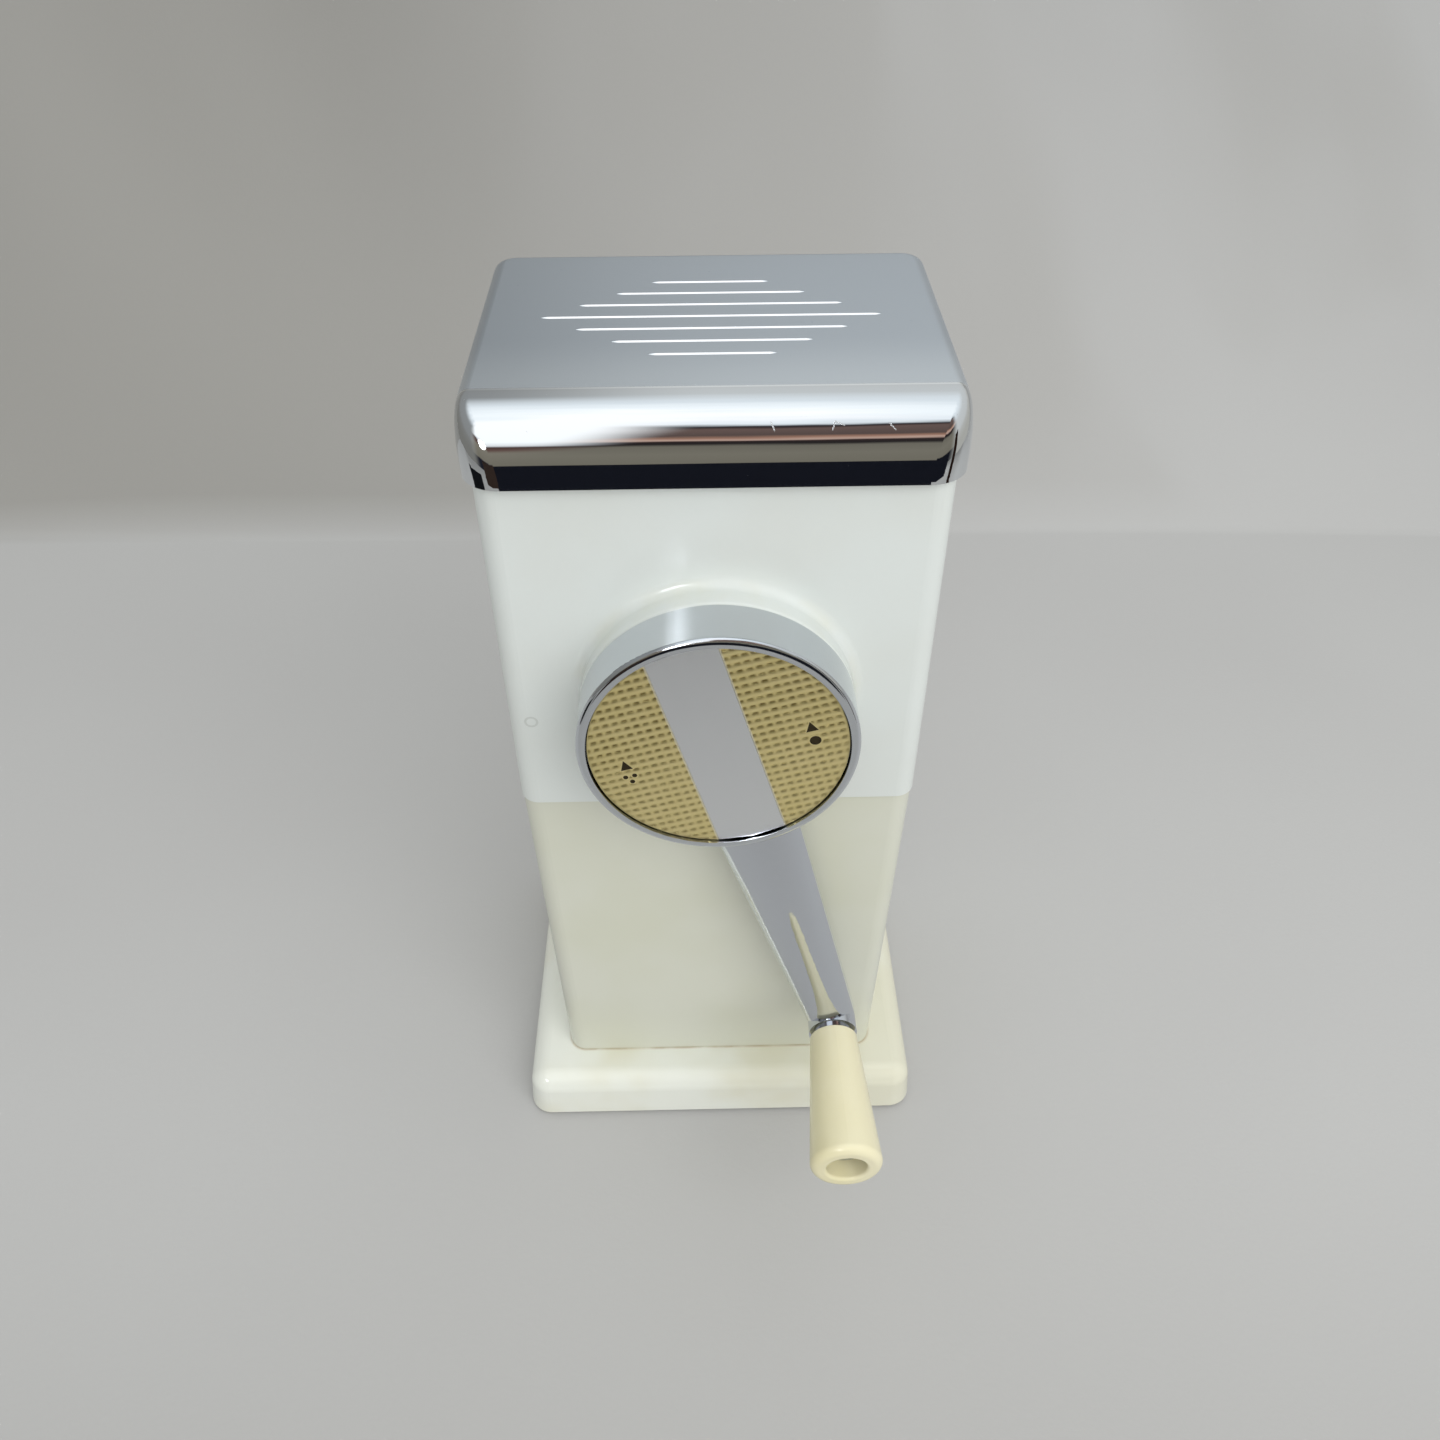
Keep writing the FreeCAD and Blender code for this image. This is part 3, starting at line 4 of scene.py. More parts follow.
import bpy
from mathutils import Euler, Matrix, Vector


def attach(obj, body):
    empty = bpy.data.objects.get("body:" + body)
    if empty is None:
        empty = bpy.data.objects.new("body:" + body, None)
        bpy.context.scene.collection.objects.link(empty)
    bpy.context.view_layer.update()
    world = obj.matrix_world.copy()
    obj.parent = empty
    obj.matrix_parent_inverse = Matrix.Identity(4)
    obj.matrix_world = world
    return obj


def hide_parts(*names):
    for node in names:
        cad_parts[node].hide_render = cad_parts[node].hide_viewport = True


# Hand crank ice crusher: chrome lid, white housing over a cream ice bin, gold dial on the crank hub.
# The scene is in metres in the model's own frame, +Z up, the crank towards -Y. Lengths in the
# dictionaries are in millimetres unless a note says otherwise, and colours are sRGB hex.

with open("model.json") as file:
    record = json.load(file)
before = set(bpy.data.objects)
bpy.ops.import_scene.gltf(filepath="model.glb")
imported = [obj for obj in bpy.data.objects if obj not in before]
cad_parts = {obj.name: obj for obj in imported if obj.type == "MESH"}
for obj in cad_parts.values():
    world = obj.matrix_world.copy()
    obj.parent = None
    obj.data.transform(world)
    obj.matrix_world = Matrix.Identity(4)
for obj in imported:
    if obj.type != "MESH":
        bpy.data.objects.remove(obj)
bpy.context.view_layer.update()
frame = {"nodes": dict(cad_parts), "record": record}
nodes = frame["nodes"]
mm = 0.001
eased = {"interpolation_type": "SMOOTHSTEP"}  # makes a Map Range node start and end softly


def linear(hexText):
    # sRGB hex to the linear colour that shaders take
    channels = [int(hexText[i:i + 2], 16) / 255 for i in (0, 2, 4)]
    return [c / 12.92 if c <= 0.04045 else ((c + 0.055) / 1.055) ** 2.4 for c in channels] + [1.0]


def perMm(size):
    # texture scale whose features are about this many millimetres across
    return 1 / (size * mm)


def span(side, ends, unit=1):
    # both ends of the From or the To side of a Map Range node
    return {side + " Min": ends[0] * unit, side + " Max": ends[1] * unit}


def addNode(tree, kind, inputs, **settings):
    made = tree.nodes.new("ShaderNode" + kind)
    for name, value in settings.items():
        setattr(made, name, value)
    wire(tree, made, inputs)
    return made


def wire(tree, made, inputs):
    # an input takes a plain value, a socket, or a node, which gives its first output in use
    for name, value in inputs.items():
        if isinstance(value, bpy.types.Node):
            value = next(socket for socket in value.outputs if socket.enabled)
        if isinstance(value, bpy.types.NodeSocket):
            tree.links.new(value, made.inputs[name])
        else:
            made.inputs[name].default_value = value


def newFinish(name):
    # a material with its shader, and the place on the object in metres
    material = bpy.data.materials.new(name)
    material.use_nodes = True
    tree = material.node_tree
    tree.nodes.clear()
    shader = addNode(tree, "BsdfPrincipled", {})
    addNode(tree, "OutputMaterial", {"Surface": shader})
    place = addNode(tree, "TexCoord", {}).outputs["Object"]
    return material, tree, shader, place


def distanceFrom(tree, place, centre, weights):
    # how far the surface is from a point; weights (1, 0, 1) measure from a line through it along Y
    away = addNode(tree, "VectorMath", {0: place, 1: [c * mm for c in centre]}, operation="SUBTRACT")
    weighed = addNode(tree, "VectorMath", {0: away, 1: weights}, operation="MULTIPLY")
    return addNode(tree, "VectorMath", {0: weighed}, operation="LENGTH")


def brushedGrain(tree, place, runs, detail):
    # noise whose marks run this far along X, Y and Z
    along = addNode(tree, "VectorMath", {0: place, 1: [perMm(run) for run in runs]}, operation="MULTIPLY")
    return addNode(tree, "TexNoise", {"Vector": along, "Scale": 1.0, "Detail": detail})


def brokenPatches(tree, place, size, where):
    # dirt and painted shade lie in patches; where: the noise at which they start and are full
    patches = addNode(tree, "TexNoise", {"Vector": place, "Scale": perMm(size), "Detail": 4.0})
    return addNode(tree, "MapRange", {"Value": patches, **span("From", where)})


def newPiece(name, points, faces, materials, body, smooth=True):
    mesh = bpy.data.meshes.new(name)
    mesh.from_pydata([Vector(p) * mm for p in points], [], faces)
    mesh.update()
    piece = bpy.data.objects.new(name, mesh)
    bpy.context.scene.collection.objects.link(piece)
    for material in materials:
        mesh.materials.append(material)
    for face in mesh.polygons:
        face.use_smooth = smooth
    if body:
        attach(piece, body)
    return piece


# Injection moulded styrene: even gloss, faint flow waves, and yellowing in soft patches.
styrene = {
    "patch": 45,
    "agedWhere": (0.38, 0.66),
    "wearAndSheen": 3.5,
    "rubbedWhere": (0.3, 0.75),
    "rubbedGloss": (0.85, 1.35),
    "ior": 1.57,
}
# gloss is the shader's roughness; waves: their width and height
plastics = {
    "housing_plastic": {"hex": "DCE1DE", "agedHex": "DADEDA", "gloss": 0.16, "waves": (9, 0.010)},
    "bin_plastic": {"hex": "D5D6C8", "agedHex": "D2D3C2", "gloss": 0.20, "waves": (8, 0.012)},
    "plinth_plastic": {"hex": "E9EBE2", "agedHex": "DFDDC9", "gloss": 0.18, "waves": (8, 0.012)},
    "hopper_plastic": {"hex": "CFCFC8", "agedHex": "C6C4B8", "gloss": 0.38, "waves": (5, 0.015)},
    "knob_plastic": {"hex": "E8E1C0", "agedHex": "E3DBB2", "gloss": 0.20, "waves": (6, 0.012)},
}


def mouldedPlastic(name, look):
    material, tree, shader, place = newFinish(name)
    patches = addNode(tree, "TexNoise", {"Vector": place, "Scale": perMm(styrene["patch"]), "Detail": 3.0})
    aged = addNode(tree, "MapRange", {"Value": patches, **span("From", styrene["agedWhere"])}, **eased)
    colour = addNode(tree, "MixRGB", {
        "Fac": aged, "Color1": linear(look["hex"]), "Color2": linear(look["agedHex"])})
    wearAndSheen = addNode(tree, "TexNoise", {"Vector": place, "Scale": perMm(styrene["wearAndSheen"]), "Detail": 6.0})
    gloss = addNode(tree, "MapRange", {
        "Value": wearAndSheen, **span("From", styrene["rubbedWhere"]),
        **span("To", styrene["rubbedGloss"], look["gloss"])})
    waveWidth, waveHeight = look["waves"]
    waves = addNode(tree, "TexNoise", {"Vector": place, "Scale": perMm(waveWidth), "Detail": 1.0})
    bump = addNode(tree, "Bump", {"Height": waves, "Distance": waveHeight * mm})
    wire(tree, shader, {
        "Base Color": colour, "Roughness": gloss, "Normal": bump, "IOR": styrene["ior"]})
    return material, tree, shader, place, colour


def addDirtAndShade(tree, shader, under, mask, hexText, most):
    # lays a colour over the one below it where the mask says: dirt and scuffs on most parts, painted shade
    # in the knob's hole
    faded = addNode(tree, "Math", {0: mask, 1: most}, operation="MULTIPLY")
    covered = addNode(tree, "MixRGB", {"Fac": faded, "Color1": under, "Color2": linear(hexText)})
    wire(tree, shader, {"Base Color": covered})
    return covered


# the housing has a faint round scuff on its front, and a warm yellowish tint in patches around the hub's
# boss
housing = {
    "scuff": (-47.4, -43.25, 168.9),
    "scuffRadius": 1.5,
    "scuffLine": 0.3,
    "scuffHex": "B9BDB8",
    "scuffAmount": 0.5,
    "boss": (0, -43.25, 177),
    "warmTintWeights": (1, 0.5, 1),  # depth counts too, so that none shows on the back
    "warmTintRadii": (37, 34.5),
    "warmTintPatch": 14,
    "warmTintWhere": (0.45, 0.75),
    "warmTintHex": "CFCDAE",
    "warmTintAmount": 0.3,
}


def housingFinish(look):
    material, tree, shader, place, colour = mouldedPlastic("mouldedStyreneWhite", look)
    scuff = [c * mm for c in housing["scuff"]]
    away = addNode(tree, "VectorMath", {0: place, 1: scuff}, operation="DISTANCE")
    ring = addNode(tree, "Math", {
        0: away, 1: housing["scuffRadius"] * mm, 2: housing["scuffLine"] * mm}, operation="COMPARE")
    marked = addDirtAndShade(tree, shader, colour, ring, housing["scuffHex"], housing["scuffAmount"])
    around = distanceFrom(tree, place, housing["boss"], housing["warmTintWeights"])
    near = addNode(tree, "MapRange", {"Value": around, **span("From", housing["warmTintRadii"], mm)}, **eased)
    broken = brokenPatches(tree, place, housing["warmTintPatch"], housing["warmTintWhere"])
    mask = addNode(tree, "Math", {0: near, 1: broken}, operation="MULTIPLY")
    addDirtAndShade(tree, shader, marked, mask, housing["warmTintHex"], housing["warmTintAmount"])
    return material


# dirt that gathers where the bin stands on the plinth
grime = {
    "hex": "A8916A",
    "amount": 0.55,
    "reach": (0.9, 0.0),
    "patch": 9,
    "where": (0.3, 0.62),
    "binFoot": (50.65, 41.9),
    "binCorner": 5.5,
    "plinthTop": 17.8,
}


def standingFinish(name, look, onBin):
    material, tree, shader, place, colour = mouldedPlastic(name, look)
    if onBin:
        parts = addNode(tree, "SeparateXYZ", {"Vector": place})
        away = addNode(tree, "Math", {
            0: parts.outputs["Z"], 1: grime["plinthTop"] * mm}, operation="SUBTRACT")
    else:
        # how far outside the bin's rounded foot
        flat = addNode(tree, "VectorMath", {0: place, 1: (1, 1, 0)}, operation="MULTIPLY")
        size = addNode(tree, "VectorMath", {0: flat}, operation="ABSOLUTE")
        core = [(half - grime["binCorner"]) * mm for half in grime["binFoot"]] + [0]
        past = addNode(tree, "VectorMath", {0: size, 1: core}, operation="SUBTRACT")
        outside = addNode(tree, "VectorMath", {0: past}, operation="MAXIMUM")
        reach = addNode(tree, "VectorMath", {0: outside}, operation="LENGTH")
        away = addNode(tree, "Math", {0: reach, 1: grime["binCorner"] * mm}, operation="SUBTRACT")
    near = addNode(tree, "MapRange", {"Value": away, **span("From", grime["reach"], mm)}, **eased)
    broken = brokenPatches(tree, place, grime["patch"], grime["where"])
    mask = addNode(tree, "Math", {0: near, 1: broken}, operation="MULTIPLY")
    addDirtAndShade(tree, shader, colour, mask, grime["hex"], grime["amount"])
    return material


# the hole in the knob's end is painted dark as shade: the knob's axis, the radii where the painted shade
# comes in, its colour and strength
knob = {
    "axis": (34.18, 0, 57.80),
    "recess": (5.75, 5.25),
    "recessShadeHex": "6E6345",
    "recessShadeAmount": 0.92,
}


def knobFinish(look):
    # glossy ivory, with painted shade darkening the hole at its end
    material, tree, shader, place, colour = mouldedPlastic("mouldedStyreneIvory", look)
    radius = distanceFrom(tree, place, knob["axis"], (1, 0, 1))
    inside = addNode(tree, "MapRange", {"Value": radius, **span("From", knob["recess"], mm)}, **eased)
    addDirtAndShade(tree, shader, colour, inside, knob["recessShadeHex"], knob["recessShadeAmount"])
    return material


# Plated and bare metals. The grain is how far the polishing or turning marks run along each axis,
# and the height is how deep they are. Real marks are finer: these are as coarse as they need to be to
# show. Smudges from hands dull each metal between its two roughnesses.
smudges = {"size": 18, "where": (0.35, 0.7)}
metals = {
    "hub_chrome": {"finish": "spunChromeHub", "hex": "D3D7DC", "rough": (0.07, 0.13),
                   "grain": (0.6, 30, 0.6), "height": 0.0004},
    "arm_chrome": {"finish": "chromedSteelArm", "hex": "CFD3DA", "rough": (0.05, 0.10),
                   "grain": (2, 2, 30), "height": 0.0006},
    "hinge_metal": {"finish": "chromedHinge", "hex": "C9CCD1", "rough": (0.12, 0.22),
                    "grain": (12, 1, 1), "height": 0.001},
    "screw_zinc": {"finish": "zincPlatedSteel", "hex": "B9BCBF", "rough": (0.28, 0.42),
                   "grain": (1.5, 1.5, 1.5), "height": 0.004},
    "comb_steel": {"finish": "milledStainlessSteel", "hex": "A9ABAD", "rough": (0.25, 0.40),
                   "grain": (0.5, 12, 0.5), "height": 0.003},
    "blade_steel": {"finish": "punchedStainlessSteel", "hex": "B0B2B4", "rough": (0.22, 0.38),
                    "grain": (4, 0.6, 4), "height": 0.003},
    "shaft_steel": {"finish": "turnedSteel", "hex": "ACAEB0", "rough": (0.20, 0.32),
                    "grain": (3, 0.4, 3), "height": 0.003},
    "spacer_metal": {"finish": "turnedAluminium", "hex": "B6B8BA", "rough": (0.25, 0.38),
                     "grain": (3, 0.4, 3), "height": 0.003},
    "frame_cast": {"finish": "castAluminium", "hex": "9FA1A3", "rough": (0.45, 0.62),
                   "grain": (1.2, 1.2, 1.2), "height": 0.05},
    "bearing_bronze": {"finish": "sinteredBronze", "hex": "B98C50", "rough": (0.35, 0.50),
                       "grain": (0.8, 0.8, 0.8), "height": 0.01},
}


def metalFinish(look):
    material, tree, shader, place = newFinish(look["finish"])
    grain = brushedGrain(tree, place, look["grain"], 4.0)
    hands = addNode(tree, "TexNoise", {"Vector": place, "Scale": perMm(smudges["size"]), "Detail": 4.0})
    wear = addNode(tree, "MapRange", {
        "Value": hands, **span("From", smudges["where"]), **span("To", look["rough"])})
    bump = addNode(tree, "Bump", {"Height": grain, "Distance": look["height"] * mm})
    wire(tree, shader, {
        "Base Color": linear(look["hex"]), "Metallic": 1.0, "Roughness": wear, "Normal": bump})
    return material, tree, shader, place


# Lid: pressed steel, chromed. The flat top is satin brushed front to back, the bull nose is a mirror.
lid = {
    # the satin top's colour, and the lighter colour it is painted towards the front, a painted reflection
    "topHex": "CAD2DB",
    "frontReflectionHex": "DCE3EA",
    "frontFromY": -4.0,
    "mirrorHex": "DDE0E3",
    "satinRough": 0.34,
    "mirrorRough": 0.025,
    "creaseY": -30.4,
    "creaseSoft": 0.7,
    "satinFromZ": (247.5, 249.5),
    # a painted highlight along the crease: its colour and width
    "creaseHighlightHex": "F2F5F7",
    "line": 0.30,
    "brush": (0.35, 26, 6),  # real marks are about 0.05 wide; drawn coarser so that they show
    "brushHeight": 0.0016,
    "nick": 2.2,
    "nickDetail": 0.7,
    "nickWhere": (0.70, 0.73),
    "nickRough": 0.45,
    "scratchHalf": 0.13,
    "scratchReach": (1.3, 0.9),
    # each scratch: its middle, and the direction across it
    "scratches": [((12.3, -40.8, 249.9), (0.9, 0.1, 0.4)), ((25.3, -40.8, 249.9), (0.95, -0.1, -0.3)),
                  ((26.6, -40.4, 250.2), (0.3, 0.2, 0.9)), ((37.8, -41.0, 249.6), (0.7, 0.3, 0.6))],
    "waveHeight": 0.02,
    "wave": 26,
}


def lidScratches(tree, place):
    cuts = None
    for spot, across in lid["scratches"]:
        away = addNode(tree, "VectorMath", {0: place, 1: [c * mm for c in spot]}, operation="SUBTRACT")
        far = addNode(tree, "VectorMath", {0: away}, operation="LENGTH")
        side = addNode(tree, "VectorMath", {0: away, 1: Vector(across).normalized()},
                       operation="DOT_PRODUCT")
        line = addNode(tree, "Math", {0: side, 1: 0, 2: lid["scratchHalf"] * mm}, operation="COMPARE")
        near = addNode(tree, "MapRange", {"Value": far, **span("From", lid["scratchReach"], mm)})
        cut = addNode(tree, "Math", {0: line, 1: near}, operation="MULTIPLY")
        cuts = addNode(tree, "Math", {0: cuts, 1: cut}, operation="MAXIMUM") if cuts else cut
    return cuts


def lidFinish():
    material, tree, shader, place = newFinish("chromedSteelLid")
    parts = addNode(tree, "SeparateXYZ", {"Vector": place})
    behind = addNode(tree, "MapRange", {
        "Value": parts.outputs["Y"],
        **span("From", (lid["creaseY"], lid["creaseY"] + lid["creaseSoft"]), mm)}, **eased)
    high = addNode(tree, "MapRange", {
        "Value": parts.outputs["Z"], **span("From", lid["satinFromZ"], mm)}, **eased)
    satin = addNode(tree, "Math", {0: behind, 1: high}, operation="MULTIPLY")
    # the satin top is painted lighter towards the front, a painted reflection
    wearAndSheen = addNode(tree, "MapRange", {
        "Value": parts.outputs["Y"], **span("From", (lid["frontFromY"], lid["creaseY"]), mm)}, **eased)
    top = addNode(tree, "MixRGB", {
        "Fac": wearAndSheen, "Color1": linear(lid["topHex"]), "Color2": linear(lid["frontReflectionHex"])})
    colour = addNode(tree, "MixRGB", {"Fac": satin, "Color1": linear(lid["mirrorHex"]), "Color2": top})
    # a thin painted highlight along the crease
    creaseHighlight = addNode(tree, "Math", {
        0: parts.outputs["Y"], 1: lid["creaseY"] * mm, 2: lid["line"] * mm}, operation="COMPARE")
    highlighted = addNode(tree, "MixRGB", {"Fac": creaseHighlight, "Color1": colour, "Color2": linear(lid["creaseHighlightHex"])})
    nicks = addNode(tree, "TexNoise", {
        "Vector": place, "Scale": perMm(lid["nick"]), "Detail": 5.0, "Roughness": lid["nickDetail"]})
    specks = addNode(tree, "MapRange", {"Value": nicks, **span("From", lid["nickWhere"])})
    nicked = addNode(tree, "Math", {0: specks, 1: lidScratches(tree, place)}, operation="MAXIMUM")
    rough = addNode(tree, "MapRange", {
        "Value": satin, **span("To", (lid["mirrorRough"], lid["satinRough"]))})
    total = addNode(tree, "Math", {0: nicked, 1: lid["nickRough"], 2: rough}, operation="MULTIPLY_ADD")
    brushed = brushedGrain(tree, place, lid["brush"], 3.0)
    lines = addNode(tree, "Math", {0: brushed, 1: satin}, operation="MULTIPLY")
    fine = addNode(tree, "Bump", {"Height": lines, "Distance": lid["brushHeight"] * mm})
    waves = addNode(tree, "TexNoise", {"Vector": place, "Scale": perMm(lid["wave"]), "Detail": 0.0})
    bump = addNode(tree, "Bump", {
        "Height": waves, "Distance": lid["waveHeight"] * mm, "Normal": fine})
    wire(tree, shader, {"Base Color": highlighted, "Metallic": 1.0, "Roughness": total, "Normal": bump})
    return material


# moulded rubber: dull, nearly black, with a fine dusty grain
rubber = {
    "hex": "262628",
    "dustHex": "3A3936",
    "grain": 1.5,
    "grainHeight": 0.03,
    "rough": 0.8,
}


def rubberFinish():
    material, tree, shader, place = newFinish("mouldedRubber")
    dust = addNode(tree, "TexNoise", {"Vector": place, "Scale": perMm(rubber["grain"]), "Detail": 5.0})
    colour = addNode(tree, "MixRGB", {
        "Fac": dust, "Color1": linear(rubber["hex"]), "Color2": linear(rubber["dustHex"])})
    bump = addNode(tree, "Bump", {"Height": dust, "Distance": rubber["grainHeight"] * mm})
    wire(tree, shader, {"Base Color": colour, "Roughness": rubber["rough"], "Normal": bump})
    return material


# Dial: a disc in the hub's cup, with a woven half on either side of a bare band.
dial = {
    "turnDegrees": 16,
    "centreZ": 177.0,
    "radius": 31.35,
    "front": -63.45,
    "back": -62.55,
    "bandHalfWidth": 8.7,
    # the gap round the dial: its radius, the depth where it starts, and the near black of its painted shade
    "gapRadius": 31.68,
    "gapFrom": -62.95,
    "gapShadeHex": "17130E",
}


def hubFinish(look):
    # the gap round the dial is painted near black, a painted shade
    material, tree, shader, place = metalFinish(look)
    radius = distanceFrom(tree, place, (0, 0, dial["centreZ"]), (1, 0, 1))
    inner = addNode(tree, "Math", {0: radius, 1: dial["gapRadius"] * mm}, operation="LESS_THAN")
    parts = addNode(tree, "SeparateXYZ", {"Vector": place})
    deep = addNode(tree, "Math", {
        0: parts.outputs["Y"], 1: dial["gapFrom"] * mm}, operation="GREATER_THAN")
    paintedDark = addNode(tree, "Math", {0: inner, 1: deep}, operation="MULTIPLY")
    colour = addNode(tree, "MixRGB", {
        "Fac": paintedDark, "Color1": linear(look["hex"]), "Color2": linear(dial["gapShadeHex"])})
    wire(tree, shader, {"Base Color": colour})
    return material


# Basket weave pressed into aluminium under gold lacquer: warm and satin, with painted shade in the pits and
# in the low parts of the weave. Shares are parts of the weave's height.
weave = {
    "pitch": (2.30, 2.22),
    "height": 0.20,
    "rowShare": 0.55,
    "strandShare": 0.40,
    "strandFrom": 0.55,
    "pitShare": 0.8,
    "pitLength": 0.52,
    "pitWidth": 0.28,
    "pitSoft": 0.2,
    "lift": 0.02,
    "ridgeWidth": 0.42,
    "ridgeHeight": 0.10,
    "margin": 0.3,
    "gridStep": 0.25,
    "lowerShade": 0.22,  # the painted shade is weaker on the lower part of the dial
    "upperShade": 0.87,
    "shadeRise": (-14, 12),
    "goldHex": "F5E5AC",
    "wornHex": "E8D898",
    "lowShadeHex": "C9B674",
    "pitShadeHex": "75642F",
    # the ridges beside the band are polished gold, painted paler as a highlight
    "ridgeHighlightHex": "F0E8CC",
    "wornPatch": 6,
    "shadePatch": 3,
    "shadeWhere": (0.2, 0.6),
    "rough": (0.36, 0.7),
    "metallic": 0.85,
}


def goldFinish():
    material, tree, shader, place = newFinish("goldLacquerWeave")
    pit, low, ridge = [addNode(tree, "Attribute", {}, attribute_name=name).outputs["Fac"]
                       for name in ("pit", "low", "ridge")]
    patches = addNode(tree, "TexNoise", {
        "Vector": place, "Scale": perMm(weave["wornPatch"]), "Detail": 4.0})
    broken = brokenPatches(tree, place, weave["shadePatch"], weave["shadeWhere"])
    # painted shade in the pits, broken into patches, and in the low parts of the weave
    paintedDark = addNode(tree, "Math", {0: pit, 1: broken}, operation="MULTIPLY")
    colour = linear(weave["goldHex"])
    for mask, hexName in ((patches, "wornHex"), (low, "lowShadeHex"), (ridge, "ridgeHighlightHex"), (paintedDark, "pitShadeHex")):
        colour = addNode(tree, "MixRGB", {
            "Fac": mask, "Color1": colour, "Color2": linear(weave[hexName])})
    rough = addNode(tree, "MapRange", {"Value": pit, **span("To", weave["rough"])})
    wire(tree, shader, {"Base Color": colour, "Metallic": weave["metallic"], "Roughness": rough})
    return material


# bare aluminium brushed along the band
band = {
    "front": -63.50,
    "gap": 0.02,
    "ease": 0.12,
    "endGap": 0.05,
    "steps": 24,
    "hex": "F3F5F8",
    "brush": (0.3, 5, 14),  # drawn coarser than the real marks, as on the lid
    "brushHeight": 0.003,
    "rough": (0.30, 0.46),
}


def bandFinish():
    material, tree, shader, place = newFinish("brushedAluminiumBand")
    turned = addNode(tree, "VectorRotate", {
        "Vector": place, "Angle": math.radians(dial["turnDegrees"])}, rotation_type="Y_AXIS")
    grain = brushedGrain(tree, turned, band["brush"], 4.0)
    rough = addNode(tree, "MapRange", {"Value": grain, **span("To", band["rough"])})
    bump = addNode(tree, "Bump", {"Height": grain, "Distance": band["brushHeight"] * mm})
    wire(tree, shader, {
        "Base Color": linear(band["hex"]), "Metallic": 1.0, "Roughness": rough, "Normal": bump})
    return material


finishes = {slotName: metalFinish(look)[0] for slotName, look in metals.items() if slotName != "hub_chrome"}
finishes.update({
    "hub_chrome": hubFinish(metals["hub_chrome"]),
    "housing_plastic": housingFinish(plastics["housing_plastic"]),
    "bin_plastic": standingFinish("mouldedStyreneCream", plastics["bin_plastic"], True),
    "plinth_plastic": standingFinish("mouldedStyrenePlinth", plastics["plinth_plastic"], False),
    "hopper_plastic": mouldedPlastic("mouldedPolypropylene", plastics["hopper_plastic"])[0],
    "knob_plastic": knobFinish(plastics["knob_plastic"]),
    "lid_chrome": lidFinish(),
    "sole_rubber": rubberFinish(),
    "dial_gold": goldFinish(),
    "band_satin": bandFinish(),
})

for part in frame["record"]["subparts"]:
    node = nodes[part["node"]]
    node.data.materials.clear()
    node.data.materials.append(finishes[part["material_slot"]])
print("finishes on", len(nodes), "nodes")


def segmentSlab(halfWidth, radius, columns, rows, heightAt):
    # One half of a disc cut off by a straight edge: a relief on top, a wall round it and a flat back.
    # Returns points (u, v, height), faces, and what heightAt says of each point beside its height.
    # u runs from halfWidth to the radius, and the points of the back have no height.
    points, faces, depths = [], [], []
    for i in range(columns + 1):
        u = halfWidth + (radius - halfWidth) * i / columns
        reach = math.sqrt(max(radius ** 2 - u ** 2, (0.02 * radius) ** 2))  # never quite a point
        for j in range(rows + 1):
            v = reach * (2 * j / rows - 1)
            height, depth = heightAt(u, v)
            points.append((u, v, height))
            depths.append(depth)
    width = rows + 1
    for i in range(columns):
        for j in range(rows):
            start = i * width + j
            faces.append((start, start + width, start + width + 1, start + 1))
    rim = [i * width for i in range(columns)] + [columns * width + j for j in range(rows)]
    rim += [i * width + rows for i in range(columns, 0, -1)] + [j for j in range(rows, 0, -1)]
    low = len(points)
    points += [(points[k][0], points[k][1], None) for k in rim]
    depths += [(0.0, 0.0, 0.0)] * len(rim)
    for k, top in enumerate(rim):
        following = (k + 1) % len(rim)
        faces.append((top, low + k, low + following, rim[following]))
    faces.append(tuple(range(low + len(rim) - 1, low - 1, -1)))
    return points, faces, depths


def onDial(u, v, y):
    # dial coordinates, u across the band and v up along it, to the model's frame
    turn = math.radians(dial["turnDegrees"])
    return (u * math.cos(turn) - v * math.sin(turn), y,
            dial["centreZ"] + u * math.sin(turn) + v * math.cos(turn))


# the marks beside the band, in dark baked enamel: an arrow with small dots for fine, and an arrow
# with one large dot for coarse
marks = {
    "arrowWidth": 3.0,
    "arrowHeight": 3.05,
    "seat": 0.06,
    "proud": 0.05,
    "bevel": 0.9,
    "clear": 0.35,
    "dotSides": 28,
    "fine": {"centre": (-22.9, 0.45), "dotRadius": 0.62,
             "dots": [(-1.15, -2.35), (1.15, -2.35), (0.0, -4.15)]},
    "coarse": {"centre": (22.9, -0.55), "dotRadius": 1.4, "dots": [(0.0, -3.1)]},
    "hex": "1C1607",
    "thinHex": "33290F",
    "rough": 0.6,
    "patch": 0.8,
}


def enamelFinish():
    material, tree, shader, place = newFinish("darkEnamel")
    patches = addNode(tree, "TexNoise", {"Vector": place, "Scale": perMm(marks["patch"]), "Detail": 3.0})
    colour = addNode(tree, "MixRGB", {
        "Fac": patches, "Color1": linear(marks["hex"]), "Color2": linear(marks["thinHex"])})
    wire(tree, shader, {"Base Color": colour, "Roughness": marks["rough"], "Specular IOR Level": 0.3})
    return material


def markShapes():
    # each mark as a closed outline on the dial
    shapes = []
    for side in ("fine", "coarse"):
        u, v = marks[side]["centre"]
        half = marks["arrowWidth"] / 2
        shapes.append([(u - half, v), (u + half, v), (u, v + marks["arrowHeight"])])
        turns = [2 * math.pi * k / marks["dotSides"] for k in range(marks["dotSides"])]
        reach = marks[side]["dotRadius"]
        for du, dv in marks[side]["dots"]:
            shapes.append([(u + du + reach * math.cos(t), v + dv + reach * math.sin(t)) for t in turns])
    return shapes


